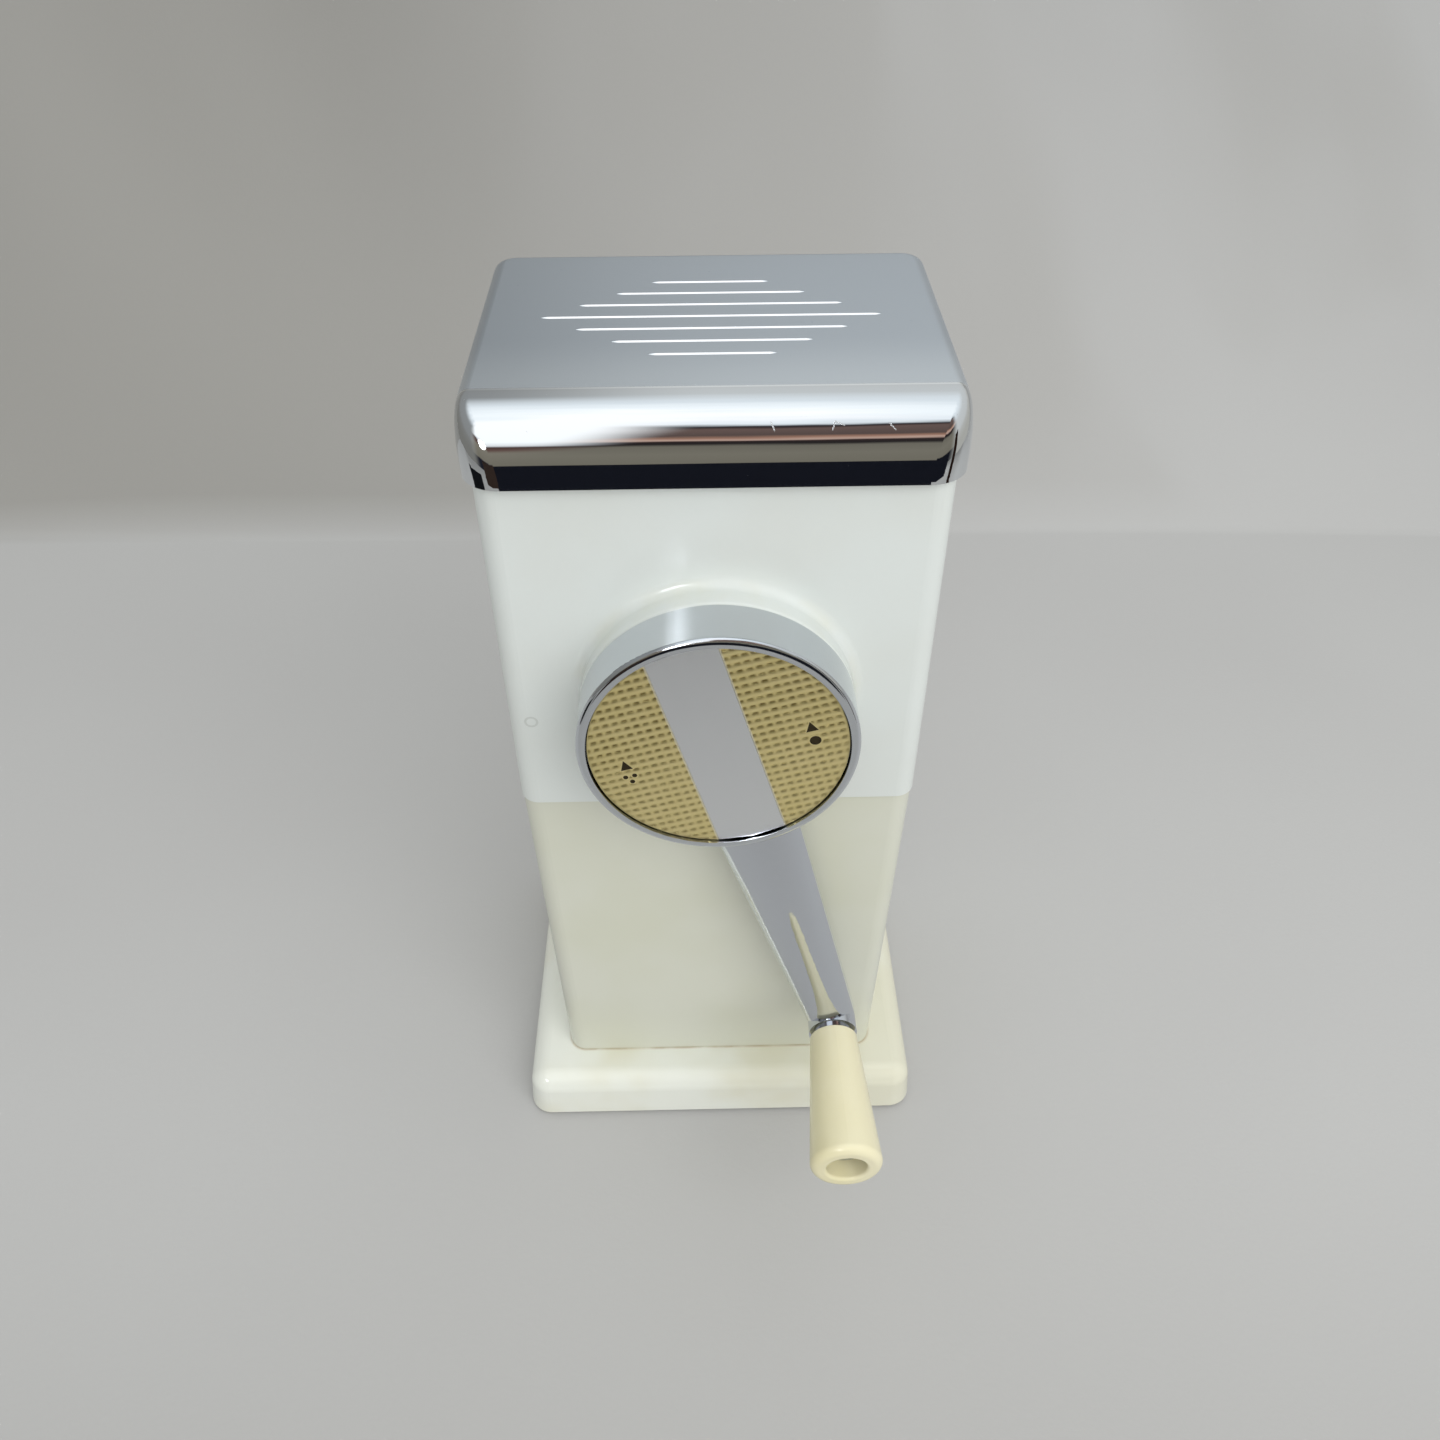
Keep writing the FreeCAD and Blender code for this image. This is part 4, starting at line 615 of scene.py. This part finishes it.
def nearMark(u, v):
    grow = marks["clear"]
    for side in ("fine", "coarse"):
        centreU, centreV = marks[side]["centre"]
        du, dv = u - centreU, v - centreV
        share = (marks["arrowHeight"] - dv) / marks["arrowHeight"]
        if -grow < dv < marks["arrowHeight"] + grow and abs(du) < marks["arrowWidth"] / 2 * share + grow:
            return True
        for dotU, dotV in marks[side]["dots"]:
            if math.hypot(du - dotU, dv - dotV) < marks[side]["dotRadius"] + grow:
                return True
    return False


def smooth(value, low, high):
    share = min(max((value - low) / (high - low), 0.0), 1.0)
    return share * share * (3 - 2 * share)


def weaveAt(u, v):
    # height above the dial's face, then how far the point lies in a pit, in the low part of the weave,
    # and on the ridge beside the band, each from 0 to 1
    if u < dial["bandHalfWidth"] + weave["ridgeWidth"]:
        share = (u - dial["bandHalfWidth"]) / weave["ridgeWidth"]
        return weave["ridgeHeight"] * math.sin(math.pi * share), (0.0, 0.0, 1.0)
    pitchU, pitchV = weave["pitch"]
    column, line = u / pitchU, v / pitchV
    alongRow = abs(column - round(column)) * 2  # 0 in the middle of a pit, 1 on a crossing strand
    acrossRow = abs(line - round(line)) * 2  # 0 on the line between two rows
    inPit = 1.0
    for far, size in ((alongRow, weave["pitLength"]), (acrossRow, weave["pitWidth"])):
        inPit *= 1 - smooth(far, size - weave["pitSoft"], size + weave["pitSoft"])
    row = weave["height"] * weave["rowShare"] * math.sqrt(max(acrossRow, 0.0))
    strand = weave["height"] * weave["strandShare"] * smooth(alongRow, weave["strandFrom"], 1.0)
    lift = weave["lift"] * math.cos(math.pi * (round(column) + round(line - 0.5)))
    height = max(row, strand) + lift - weave["height"] * weave["pitShare"] * inPit
    edge = smooth(dial["radius"] - math.hypot(u, v), 0.0, weave["margin"])
    low = 1 - max(row, strand) / (weave["height"] * weave["rowShare"])
    # how strong the painted shade is: weaker towards the bottom of the dial
    paintedShade = weave["lowerShade"] + (weave["upperShade"] - weave["lowerShade"]) * smooth(v, *weave["shadeRise"])
    return height * edge, (inPit * edge * paintedShade, low * edge * (0.5 + 0.5 * paintedShade), 0.0)


def buildDial():
    points, faces, depths = [], [], []
    columns = round((dial["radius"] - dial["bandHalfWidth"]) / weave["gridStep"])
    rows = round(2 * dial["radius"] / weave["gridStep"])
    for side in (1, -1):
        def heightAt(u, v):
            if nearMark(side * u, v):
                return marks["seat"], (0.0, 0.0, 0.0)
            return weaveAt(u, v)

        made, madeFaces, madeDepths = segmentSlab(
            dial["bandHalfWidth"], dial["radius"], columns, rows, heightAt)
        start = len(points)
        for u, v, height in made:
            y = dial["back"] if height is None else dial["front"] - height
            points.append(onDial(side * u, v, y))
        for face in madeFaces:
            turned = face if side > 0 else tuple(reversed(face))
            faces.append(tuple(start + k for k in turned))
        depths += madeDepths
    piece = newPiece("dial_weave", points, faces, [finishes["dial_gold"]], "crank")
    for number, name in enumerate(("pit", "low", "ridge")):
        layer = piece.data.attributes.new(name, "FLOAT", "POINT")
        layer.data.foreach_set("value", [each[number] for each in depths])
    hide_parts("hub_medallion")
    print("dial:", len(faces), "faces")


def buildMarks():
    points, faces = [], []
    face, proud = dial["front"] - marks["seat"], marks["proud"]
    # three rings: the foot sunk into the dial, half way up, and the bevelled top
    rings = [(1.0, face + proud), (1.0, face - proud / 2), (marks["bevel"], face - proud)]
    for outline in markShapes():
        start, count = len(points), len(outline)
        middle = [sum(p[k] for p in outline) / count for k in (0, 1)]
        for inset, y in rings:
            for place in outline:
                u, v = [m + (p - m) * inset for p, m in zip(place, middle)]
                points.append(onDial(u, v, y))
        for low in (start, start + count):
            for k in range(count):
                following = (k + 1) % count
                faces.append((low + k, low + following, low + count + following, low + count + k))
        faces.append(tuple(start + 2 * count + k for k in range(count)))
        faces.append(tuple(start + k for k in reversed(range(count))))
    piece = newPiece("dial_marks", points, faces, [enamelFinish()], "crank", smooth=False)


def buildBand():
    # a flat strip with its long edges eased, bare from end to end
    half, ease, front = dial["bandHalfWidth"] - band["gap"], band["ease"], band["front"]
    across = [-half, -half, -half + ease, 0, half - ease, half, half]
    heights = [dial["back"], front + ease, front, front, front, front + ease, dial["back"]]
    points, faces = [], []
    for u, y in zip(across, heights):
        reach = math.sqrt(dial["radius"] ** 2 - u ** 2) - band["endGap"]
        for j in range(band["steps"] + 1):
            points.append(onDial(u, reach * (2 * j / band["steps"] - 1), y))
    width = band["steps"] + 1
    for i in range(len(across)):
        one, two = i * width, (i + 1) % len(across) * width
        for j in range(band["steps"]):
            faces.append((one + j, two + j, two + j + 1, one + j + 1))
    faces.append(tuple(i * width for i in reversed(range(len(across)))))
    faces.append(tuple(i * width + band["steps"] for i in range(len(across))))
    piece = newPiece("dial_band", points, faces, [finishes["band_satin"]], "crank", smooth=False)
    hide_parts("hub_band")


# the seven grooves pressed into the lid's top; the bright trough in each catches the light
grooves = {
    "count": 7,
    "pitch": 6.72,
    "middleY": 5.72,
    "longest": 80.9,
    "step": 17.3,
    "width": 1.3,
    "gap": 0.01,
    "trough": 1.06,
    "leastTrough": 0.06,
    "flatShare": 0.12,
    "depth": 0.35,
    "taper": 1.8,
    "taperSteps": 8,
    "startDepth": 0.1,  # the taper starts this far outside the groove, so that its end has some depth
    "top": 253.996,
    "floor": 253.605,
    "hex": "F0F2F4",
    "wear": 2,
    "rough": (0.08, 0.22),
}


def polishedFinish():
    # bright chrome in the bottom of the pressed grooves
    material, tree, shader, place = newFinish("brightChromeGroove")
    worn = addNode(tree, "TexNoise", {"Vector": place, "Scale": perMm(grooves["wear"]), "Detail": 4.0})
    rough = addNode(tree, "MapRange", {"Value": worn, **span("To", grooves["rough"])})
    wire(tree, shader, {"Base Color": linear(grooves["hex"]), "Metallic": 1.0, "Roughness": rough})
    return material


def buildGrooves():
    points, faces, inTrough = [], [], []
    steps, taper = grooves["taperSteps"], grooves["taper"]
    top, floor = grooves["top"], grooves["floor"]
    edge = grooves["width"] / 2 - grooves["gap"]
    for number in range(grooves["count"]):
        away = number - (grooves["count"] - 1) / 2
        half = (grooves["longest"] - grooves["step"] * abs(away)) / 2 - grooves["gap"]
        middle = grooves["middleY"] + grooves["pitch"] * away
        places = [-half + taper * k / steps for k in range(steps + 1)]
        places += [-p for p in reversed(places)]
        start = len(points)
        for x in places:
            share = math.sqrt(smooth(half - abs(x), -grooves["startDepth"], taper))
            trough = max(grooves["trough"] * share, grooves["leastTrough"]) / 2
            flat = trough * grooves["flatShare"]
            low = top - grooves["depth"] * share
            section = [(-edge, floor), (-edge, top), (-trough, top), (-flat, low), (flat, low),
                       (trough, top), (edge, top), (edge, floor)]
            points += [(x, middle + y, z) for y, z in section]
        ring = len(section)
        for i in range(len(places) - 1):
            for k in range(ring):
                following = (k + 1) % ring
                one, two = start + i * ring, start + (i + 1) * ring
                faces.append((one + k, two + k, two + following, one + following))
                inTrough.append(2 <= k <= 4)  # the section's two slopes and the flat between them
        faces.append(tuple(start + k for k in range(ring)))
        faces.append(tuple(start + (len(places) - 1) * ring + k for k in reversed(range(ring))))
        inTrough += [False, False]
    chromes = [finishes["lid_chrome"], polishedFinish()]
    piece = newPiece("lid_grooves", points, faces, chromes, "lid", smooth=False)
    for face, trough in zip(piece.data.polygons, inTrough):
        face.material_index = 1 if trough else 0


# pan head screws with a slot, which show in the hopper's corners once the lid is up
screws = {
    "x": 48.4,
    "y": 37.95,
    "seat": 245.5,
    "headRadius": 3.2,
    "headHeight": 1.75,
    "headRim": 0.9,  # the rim's height as a share of the height of the slot's floor
    "domePower": 2.6,
    "headGrid": (10, 20),
    "slot": 0.9,
    "slotDepth": 0.8,
    "shankRadius": 1.6,
    "shankLength": 9.0,
    "sides": 32,
    "turns": (20, -35, 62, 5),
}


def buildScrews():
    points, faces = [], []
    places = [(sx * screws["x"], sy * screws["y"]) for sx in (-1, 1) for sy in (-1, 1)]
    radius, foot = screws["headRadius"], screws["headHeight"] - screws["slotDepth"]
    rimHeight = foot * screws["headRim"]

    def domeAt(u, v):
        rise = math.sqrt(max(1 - (math.hypot(u, v) / radius) ** screws["domePower"], 0.0))
        return rimHeight + (screws["headHeight"] - rimHeight) * rise, 0.0

    def put(made, madeFaces):
        start = len(points)
        for u, v, z in made:
            points.append((x + u * math.cos(angle) - v * math.sin(angle),
                           y + u * math.sin(angle) + v * math.cos(angle), screws["seat"] + z))
        faces.extend(tuple(start + k for k in face) for face in madeFaces)

    profile = [(radius, foot), (radius, 0.0), (screws["shankRadius"], 0.0),
               (screws["shankRadius"], -screws["shankLength"])]
    count = screws["sides"]
    turns = [2 * math.pi * k / count for k in range(count)]
    rings = [(reach * math.cos(t), reach * math.sin(t), z) for reach, z in profile for t in turns]
    sides = [(low + k, low + count + k, low + count + (k + 1) % count, low + (k + 1) % count)
             for low in range(0, 3 * count, count) for k in range(count)]
    caps = [tuple(range(count)), tuple(reversed(range(3 * count, 4 * count)))]
    for (x, y), turn in zip(places, screws["turns"]):
        angle = math.radians(turn)
        for side in (1, -1):
            made, madeFaces, _ = segmentSlab(screws["slot"] / 2, radius, *screws["headGrid"], domeAt)
            put([(side * u, side * v, foot if z is None else z) for u, v, z in made], madeFaces)
        put(rings, sides + caps)
    piece = newPiece("hopper_screw_heads", points, faces, [finishes["screw_zinc"]], "crusher", smooth=False)
    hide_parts("hopper_screws")


buildDial()
buildMarks()
buildBand()
buildGrooves()
buildScrews()
print("pieces built")


# the stage: a plain grey cotton sheet that lies flat under the object and rises behind it
stage = {
    "clothHex": "BFBFBE",
    "creasedHex": "B7B6B5",
    "creasedPatch": 240,
    "nearHex": "A2A19F",
    "nearY": (-40.0, -320.0),
    "shadedHex": "A2A09C",
    "shadedX": (350, -350),
    # soft leaning patches of painted fold shade on the backdrop
    "foldShadeHex": "B6B5B3",
    "foldShadePatch": 260,
    "backLean": (1.6, 0.5, 0.5),
    "backWhere": (0.40, 0.62),
    "backSoft": 25,
    "thread": 1.6,  # real threads are about 0.4 apart; drawn coarser so that they show
    "threadHeight": 0.06,
    "creaseY": 298.0,
    "creaseRadius": 14.0,
    "creaseSteps": 8,
    "slopeDegrees": 33,
    "slopeLength": 1500.0,
    "slopeSteps": 30,
    "slopeSpread": 1.3,  # rows lie further apart up the slope
    "flatY": (-1500.0, -400.0),
    "beforeCrease": 60,
    "halfWidth": 2000.0,
    "columns": 200,
    "foldHeight": 14.0,
    "foldLean": 0.45,
    "folds": [(1.0, 83, 0.0), (0.5, 47, 1.7)],  # strength, length and start of the leaning folds
    "crossFold": (0.6, 121, 90),  # strength, length along X and along Y
    "foldRise": 160,
    "foldMost": 1.5,
    "drift": (5, 150, -0.03),  # how the crease wanders: a wave, its length, and a skew
    "driftBefore": 90,
}


def clothFinish():
    material, tree, shader, place = newFinish("cottonSheet")
    parts = addNode(tree, "SeparateXYZ", {"Vector": place})
    patches = addNode(tree, "TexNoise", {
        "Vector": place, "Scale": perMm(stage["creasedPatch"]), "Detail": 2.0})
    near = addNode(tree, "MapRange", {
        "Value": parts.outputs["Y"], **span("From", stage["nearY"], mm)}, **eased)
    behind = addNode(tree, "MapRange", {
        "Value": parts.outputs["Y"],
        **span("From", (stage["creaseY"], stage["creaseY"] + stage["backSoft"]), mm)})
    # painted fold shade in soft leaning patches on the backdrop, and painted shade darker towards the
    # backdrop's left
    leaning = addNode(tree, "VectorMath", {0: place, 1: stage["backLean"]}, operation="MULTIPLY")
    soft = addNode(tree, "TexNoise", {
        "Vector": leaning, "Scale": perMm(stage["foldShadePatch"]), "Detail": 2.0, "Distortion": 0.6})
    foldShade = addNode(tree, "MapRange", {"Value": soft, **span("From", stage["backWhere"])}, **eased)
    foldShadeBehind = addNode(tree, "Math", {0: foldShade, 1: behind}, operation="MULTIPLY")
    across = addNode(tree, "MapRange", {
        "Value": parts.outputs["X"], **span("From", stage["shadedX"], mm)}, **eased)
    acrossBehind = addNode(tree, "Math", {0: behind, 1: across}, operation="MULTIPLY")
    colour = linear(stage["clothHex"])
    for mask, hexName in ((patches, "creasedHex"), (near, "nearHex"), (foldShadeBehind, "foldShadeHex"),
                          (acrossBehind, "shadedHex")):
        colour = addNode(tree, "MixRGB", {
            "Fac": mask, "Color1": colour, "Color2": linear(stage[hexName])})
    threads = addNode(tree, "TexNoise", {"Vector": place, "Scale": perMm(stage["thread"]), "Detail": 3.0})
    bump = addNode(tree, "Bump", {"Height": threads, "Distance": stage["threadHeight"] * mm})
    wire(tree, shader, {
        "Base Color": colour, "Roughness": 0.9, "Specular IOR Level": 0.1, "Normal": bump})
    return material


def buildCloth():
    slope = math.radians(stage["slopeDegrees"])
    radius, crease = stage["creaseRadius"], stage["creaseY"]
    tangent = radius * math.tan(slope / 2)
    profile = [(y, 0.0) for y in (*stage["flatY"], crease - tangent - stage["beforeCrease"])]
    for k in range(stage["creaseSteps"] + 1):
        bend = slope * k / stage["creaseSteps"]
        profile.append((crease - tangent + radius * math.sin(bend), radius * (1 - math.cos(bend))))
    endY, endZ = profile[-1]
    for k in range(1, stage["slopeSteps"] + 1):
        run = stage["slopeLength"] * (k / stage["slopeSteps"]) ** stage["slopeSpread"]
        profile.append((endY + run * math.cos(slope), endZ + run * math.sin(slope)))
    columns = stage["columns"]
    crossStrength, crossX, crossY = stage["crossFold"]
    wave, waveLength, skew = stage["drift"]
    points, faces = [], []
    for y, z in profile:
        past = min(max(0.0, y - crease) / stage["foldRise"], stage["foldMost"])
        drifts = y > crease - stage["driftBefore"]
        for i in range(columns + 1):
            x = stage["halfWidth"] * (2 * i / columns - 1)
            lean = x + stage["foldLean"] * (y - crease)
            fold = crossStrength * math.sin(x / crossX + y / crossY)
            for strength, length, start in stage["folds"]:
                fold += strength * math.sin(lean / length + start)
            drift = wave * math.sin(x / waveLength) + skew * x if drifts else 0.0
            points.append((x, y + drift, z + stage["foldHeight"] * past * fold))
    width = columns + 1
    for r in range(len(profile) - 1):
        for i in range(columns):
            start = r * width + i
            faces.append((start, start + 1, start + width + 1, start + width))
    cloth = newPiece("cloth", points, faces, [clothFinish()], None)


# cards that stand out of view and that only polished metal sees: two corners, height, colour
cards = {
    "black_card_front": [(-135, -430), (420, -430), 297, "242630"],
    "brown_card_front": [(-330, -415), (-135, -430), 290, "4A3C36"],
    "black_card_left": [(-430, -100), (-350, -300), 130, "1C1D20"],
    "dark_card_right": [(330, -190), (352, -262), 420, "30221C"],
}


def buildCards():
    for name, ((x0, y0), (x1, y1), height, hexText) in cards.items():
        material, tree, shader, place = newFinish(name)
        wire(tree, shader, {"Base Color": linear(hexText), "Roughness": 1.0, "Specular IOR Level": 0.0})
        corners = [(x0, y0, 1), (x1, y1, 1), (x1, y1, height), (x0, y0, height)]
        piece = newPiece(name, corners, [(0, 1, 2, 3)], [material], None)
        piece.visible_camera = False
        piece.visible_diffuse = False
        piece.visible_shadow = False


# What polished metal sees around the object: a dim room in front, a bright ceiling, pale cloth behind.
# Each colour row runs from straight down, 0, to straight up, 1. Other places are parts of a unit direction.
room = {
    "behind": [(0.0, "A2A29E"), (0.55, "A3A29C"), (0.66, "ACACA8"), (0.72, "B9BBBA"), (0.87, "BEC1C1"),
               (0.96, "D9E0E4"), (0.992, "F3F8FA"), (1.0, "FFFFFF")],
    "frontRight": [(0.0, "B4B2AC"), (0.235, "B4B2AC"), (0.245, "1B1D23"), (0.555, "1B1D23"),
                   (0.575, "6C685D"), (0.70, "716D62"), (0.79, "69655B"), (0.815, "252222"),
                   (0.84, "2E2525"), (0.855, "B79A8C"), (0.875, "94705F"), (0.895, "544743"),
                   (0.945, "63524D"), (0.96, "15131A"), (0.975, "E4EAEE"), (1.0, "FFFFFF")],
    "frontLeft": [(0.0, "B4B2AC"), (0.235, "B4B2AC"), (0.245, "1B1D23"), (0.555, "1D1E26"),
                  (0.575, "6E6A5F"), (0.74, "787368"), (0.775, "5E4A44"), (0.81, "4A3834"),
                  (0.828, "D6D8DA"), (0.86, "FAFDFD"), (1.0, "FFFFFF")],
    "streaks": (7, 7, 2),
    "wobble": (0.485, 0.515),
    "frontFrom": (-0.45, -0.75),
    "leftTurn": (-0.05, -0.145),
    "leftSlant": -0.4,
    "slantFrom": 0.83,  # the height on a colour row at which the slant shifts nothing
    "mirrored": 1.37,  # chrome gives back about 73 percent, so the colours above are what it shows
    "leftDim": 0.45,
    "dimX": (-0.2, 0.02),
    "evenZ": (0.75, 0.95),
    "window": (-0.365, -0.73, 0.584),
    "windowDegrees": (8.5, 5.0),
    "windowStrength": 19.0,
    "windowHex": "F6FAFF",
    # what dull surfaces get: a soft light, a little stronger from the right and from above
    "softHex": "FAFCFB",
    "soft": 0.62,
    "softSides": (0.88, 1.12),
    "softAbove": (0.68, 0.95),
    "backdropHex": "BDBCB9",
}


def roomColours(tree, height):
    # the three colour rows, read at the height a ray goes
    seen = []
    for side in ("behind", "frontRight", "frontLeft"):
        ramp = addNode(tree, "ValToRGB", {"Fac": height})
        stops = ramp.color_ramp.elements
        while len(stops) < len(room[side]):
            stops.new(1.0)
        for stop, (where, hexText) in zip(stops, room[side]):
            stop.position = where
            stop.color = linear(hexText)
        seen.append(ramp)
    return seen


def buildRoom():
    world = bpy.data.worlds.new("room")
    world.use_nodes = True
    bpy.context.scene.world = world
    tree = world.node_tree
    tree.nodes.clear()
    way = addNode(tree, "TexCoord", {}).outputs["Generated"]
    parts = addNode(tree, "SeparateXYZ", {"Vector": way})
    toX, toZ = parts.outputs["X"], parts.outputs["Z"]
    streaks = addNode(tree, "VectorMath", {0: way, 1: room["streaks"]}, operation="MULTIPLY")
    uneven = addNode(tree, "TexNoise", {"Vector": streaks, "Scale": 1.0, "Detail": 2.0})
    wobble = addNode(tree, "MapRange", {"Value": uneven, **span("To", room["wobble"])})
    height = addNode(tree, "Math", {0: toZ, 1: 0.5, 2: wobble}, operation="MULTIPLY_ADD")
    behind, frontRight, frontLeft = roomColours(tree, height)

    # which row a ray reads: left or right in front, and in front or behind
    raised = addNode(tree, "Math", {0: height, 1: room["slantFrom"]}, operation="SUBTRACT")
    slanted = addNode(tree, "Math", {0: raised, 1: room["leftSlant"], 2: toX}, operation="MULTIPLY_ADD")
    left = addNode(tree, "MapRange", {"Value": slanted, **span("From", room["leftTurn"])}, **eased)
    ahead = addNode(tree, "MixRGB", {"Fac": left, "Color1": frontRight, "Color2": frontLeft})
    flat = addNode(tree, "VectorMath", {0: way, 1: (1, 1, 0)}, operation="MULTIPLY")
    level = addNode(tree, "VectorMath", {0: flat}, operation="NORMALIZE")
    heading = addNode(tree, "SeparateXYZ", {"Vector": level})
    towards = addNode(tree, "MapRange", {
        "Value": heading.outputs["Y"], **span("From", room["frontFrom"])}, **eased)
    around = addNode(tree, "MixRGB", {"Fac": towards, "Color1": behind, "Color2": ahead})

    # how bright it is there: dimmer on the left behind, even in front and overhead, and a bright window
    dim = addNode(tree, "MapRange", {
        "Value": toX, **span("From", room["dimX"]),
        **span("To", (room["leftDim"], 1), room["mirrored"])}, **eased)
    high = addNode(tree, "MapRange", {"Value": toZ, **span("From", room["evenZ"])}, **eased)
    even = addNode(tree, "Math", {0: high, 1: towards}, operation="MAXIMUM")
    bright = addNode(tree, "MixRGB", {
        "Fac": even, "Color1": dim, "Color2": [room["mirrored"]] * 3 + [1]})
    facing = addNode(tree, "VectorMath", {0: way, 1: Vector(room["window"]).normalized()},
                     operation="DOT_PRODUCT")
    edges = [math.cos(math.radians(angle)) for angle in room["windowDegrees"]]
    pane = addNode(tree, "MapRange", {"Value": facing, **span("From", edges)}, **eased)
    lit = addNode(tree, "MixRGB", {
        "Fac": pane, "Color1": bright, "Color2": [room["windowStrength"]] * 3 + [1]})
    glazed = addNode(tree, "MixRGB", {"Fac": pane, "Color1": around, "Color2": linear(room["windowHex"])})
    polished = addNode(tree, "Background", {"Color": glazed, "Strength": lit})

    fromRight = addNode(tree, "MapRange", {
        "Value": toX, **span("From", (-1, 1)), **span("To", room["softSides"], room["soft"])})
    base, perHeight = room["softAbove"]
    above = addNode(tree, "Math", {0: toZ, 1: perHeight, 2: base}, operation="MULTIPLY_ADD")
    total = addNode(tree, "Math", {0: fromRight, 1: above}, operation="MULTIPLY")
    soft = addNode(tree, "Background", {"Color": linear(room["softHex"]), "Strength": total})
    plain = addNode(tree, "Background", {"Color": linear(room["backdropHex"]), "Strength": 1.0})
    rays = addNode(tree, "LightPath", {})
    both = addNode(tree, "MixShader", {0: rays.outputs["Is Glossy Ray"], 1: soft, 2: polished})
    shown = addNode(tree, "MixShader", {0: rays.outputs["Is Camera Ray"], 1: both, 2: plain})
    addNode(tree, "OutputWorld", {"Surface": shown})


softbox = {
    "place": (340, -830, 760),
    "aim": (0, 0, 120),
    "size": (1050, 900),
    "watts": 7.3,
}


def addLamp():
    data = bpy.data.lights.new("softbox", "AREA")
    data.shape = "RECTANGLE"
    data.size, data.size_y = [size * mm for size in softbox["size"]]
    data.energy = softbox["watts"]
    lamp = bpy.data.objects.new("softbox", data)
    bpy.context.scene.collection.objects.link(lamp)
    lamp.location = Vector(softbox["place"]) * mm
    lamp.rotation_euler = (Vector(softbox["aim"]) * mm - lamp.location).to_track_quat("-Z", "Y").to_euler()
    lamp.visible_glossy = False  # the room above already shows what metal sees of it


view = {
    "place": (-2.98, -272.27, 375.40),
    "downDegrees": 42.09,
    "rightDegrees": 0.922,
    "rollDegrees": 0.344,
    "lens": 30.21,
    "sensor": 36.0,
    "clipMetres": (0.01, 50),
}


def addCamera():
    data = bpy.data.cameras.new("camera")
    data.lens, data.sensor_width = view["lens"], view["sensor"]
    data.clip_start, data.clip_end = view["clipMetres"]
    camera = bpy.data.objects.new("camera", data)
    bpy.context.scene.collection.objects.link(camera)
    heading = Euler((0, 0, -math.radians(view["rightDegrees"]))).to_matrix()
    pitch = Euler((math.radians(90 - view["downDegrees"]), 0, 0)).to_matrix()
    roll = Euler((0, 0, -math.radians(view["rollDegrees"]))).to_matrix()
    camera.matrix_world = (heading @ pitch @ roll).to_4x4()
    camera.location = Vector(view["place"]) * mm
    bpy.context.scene.camera = camera


buildCloth()
buildCards()
buildRoom()
addLamp()
addCamera()
bpy.context.scene.view_settings.view_transform = "Standard"
print("stage, lamp and camera placed")
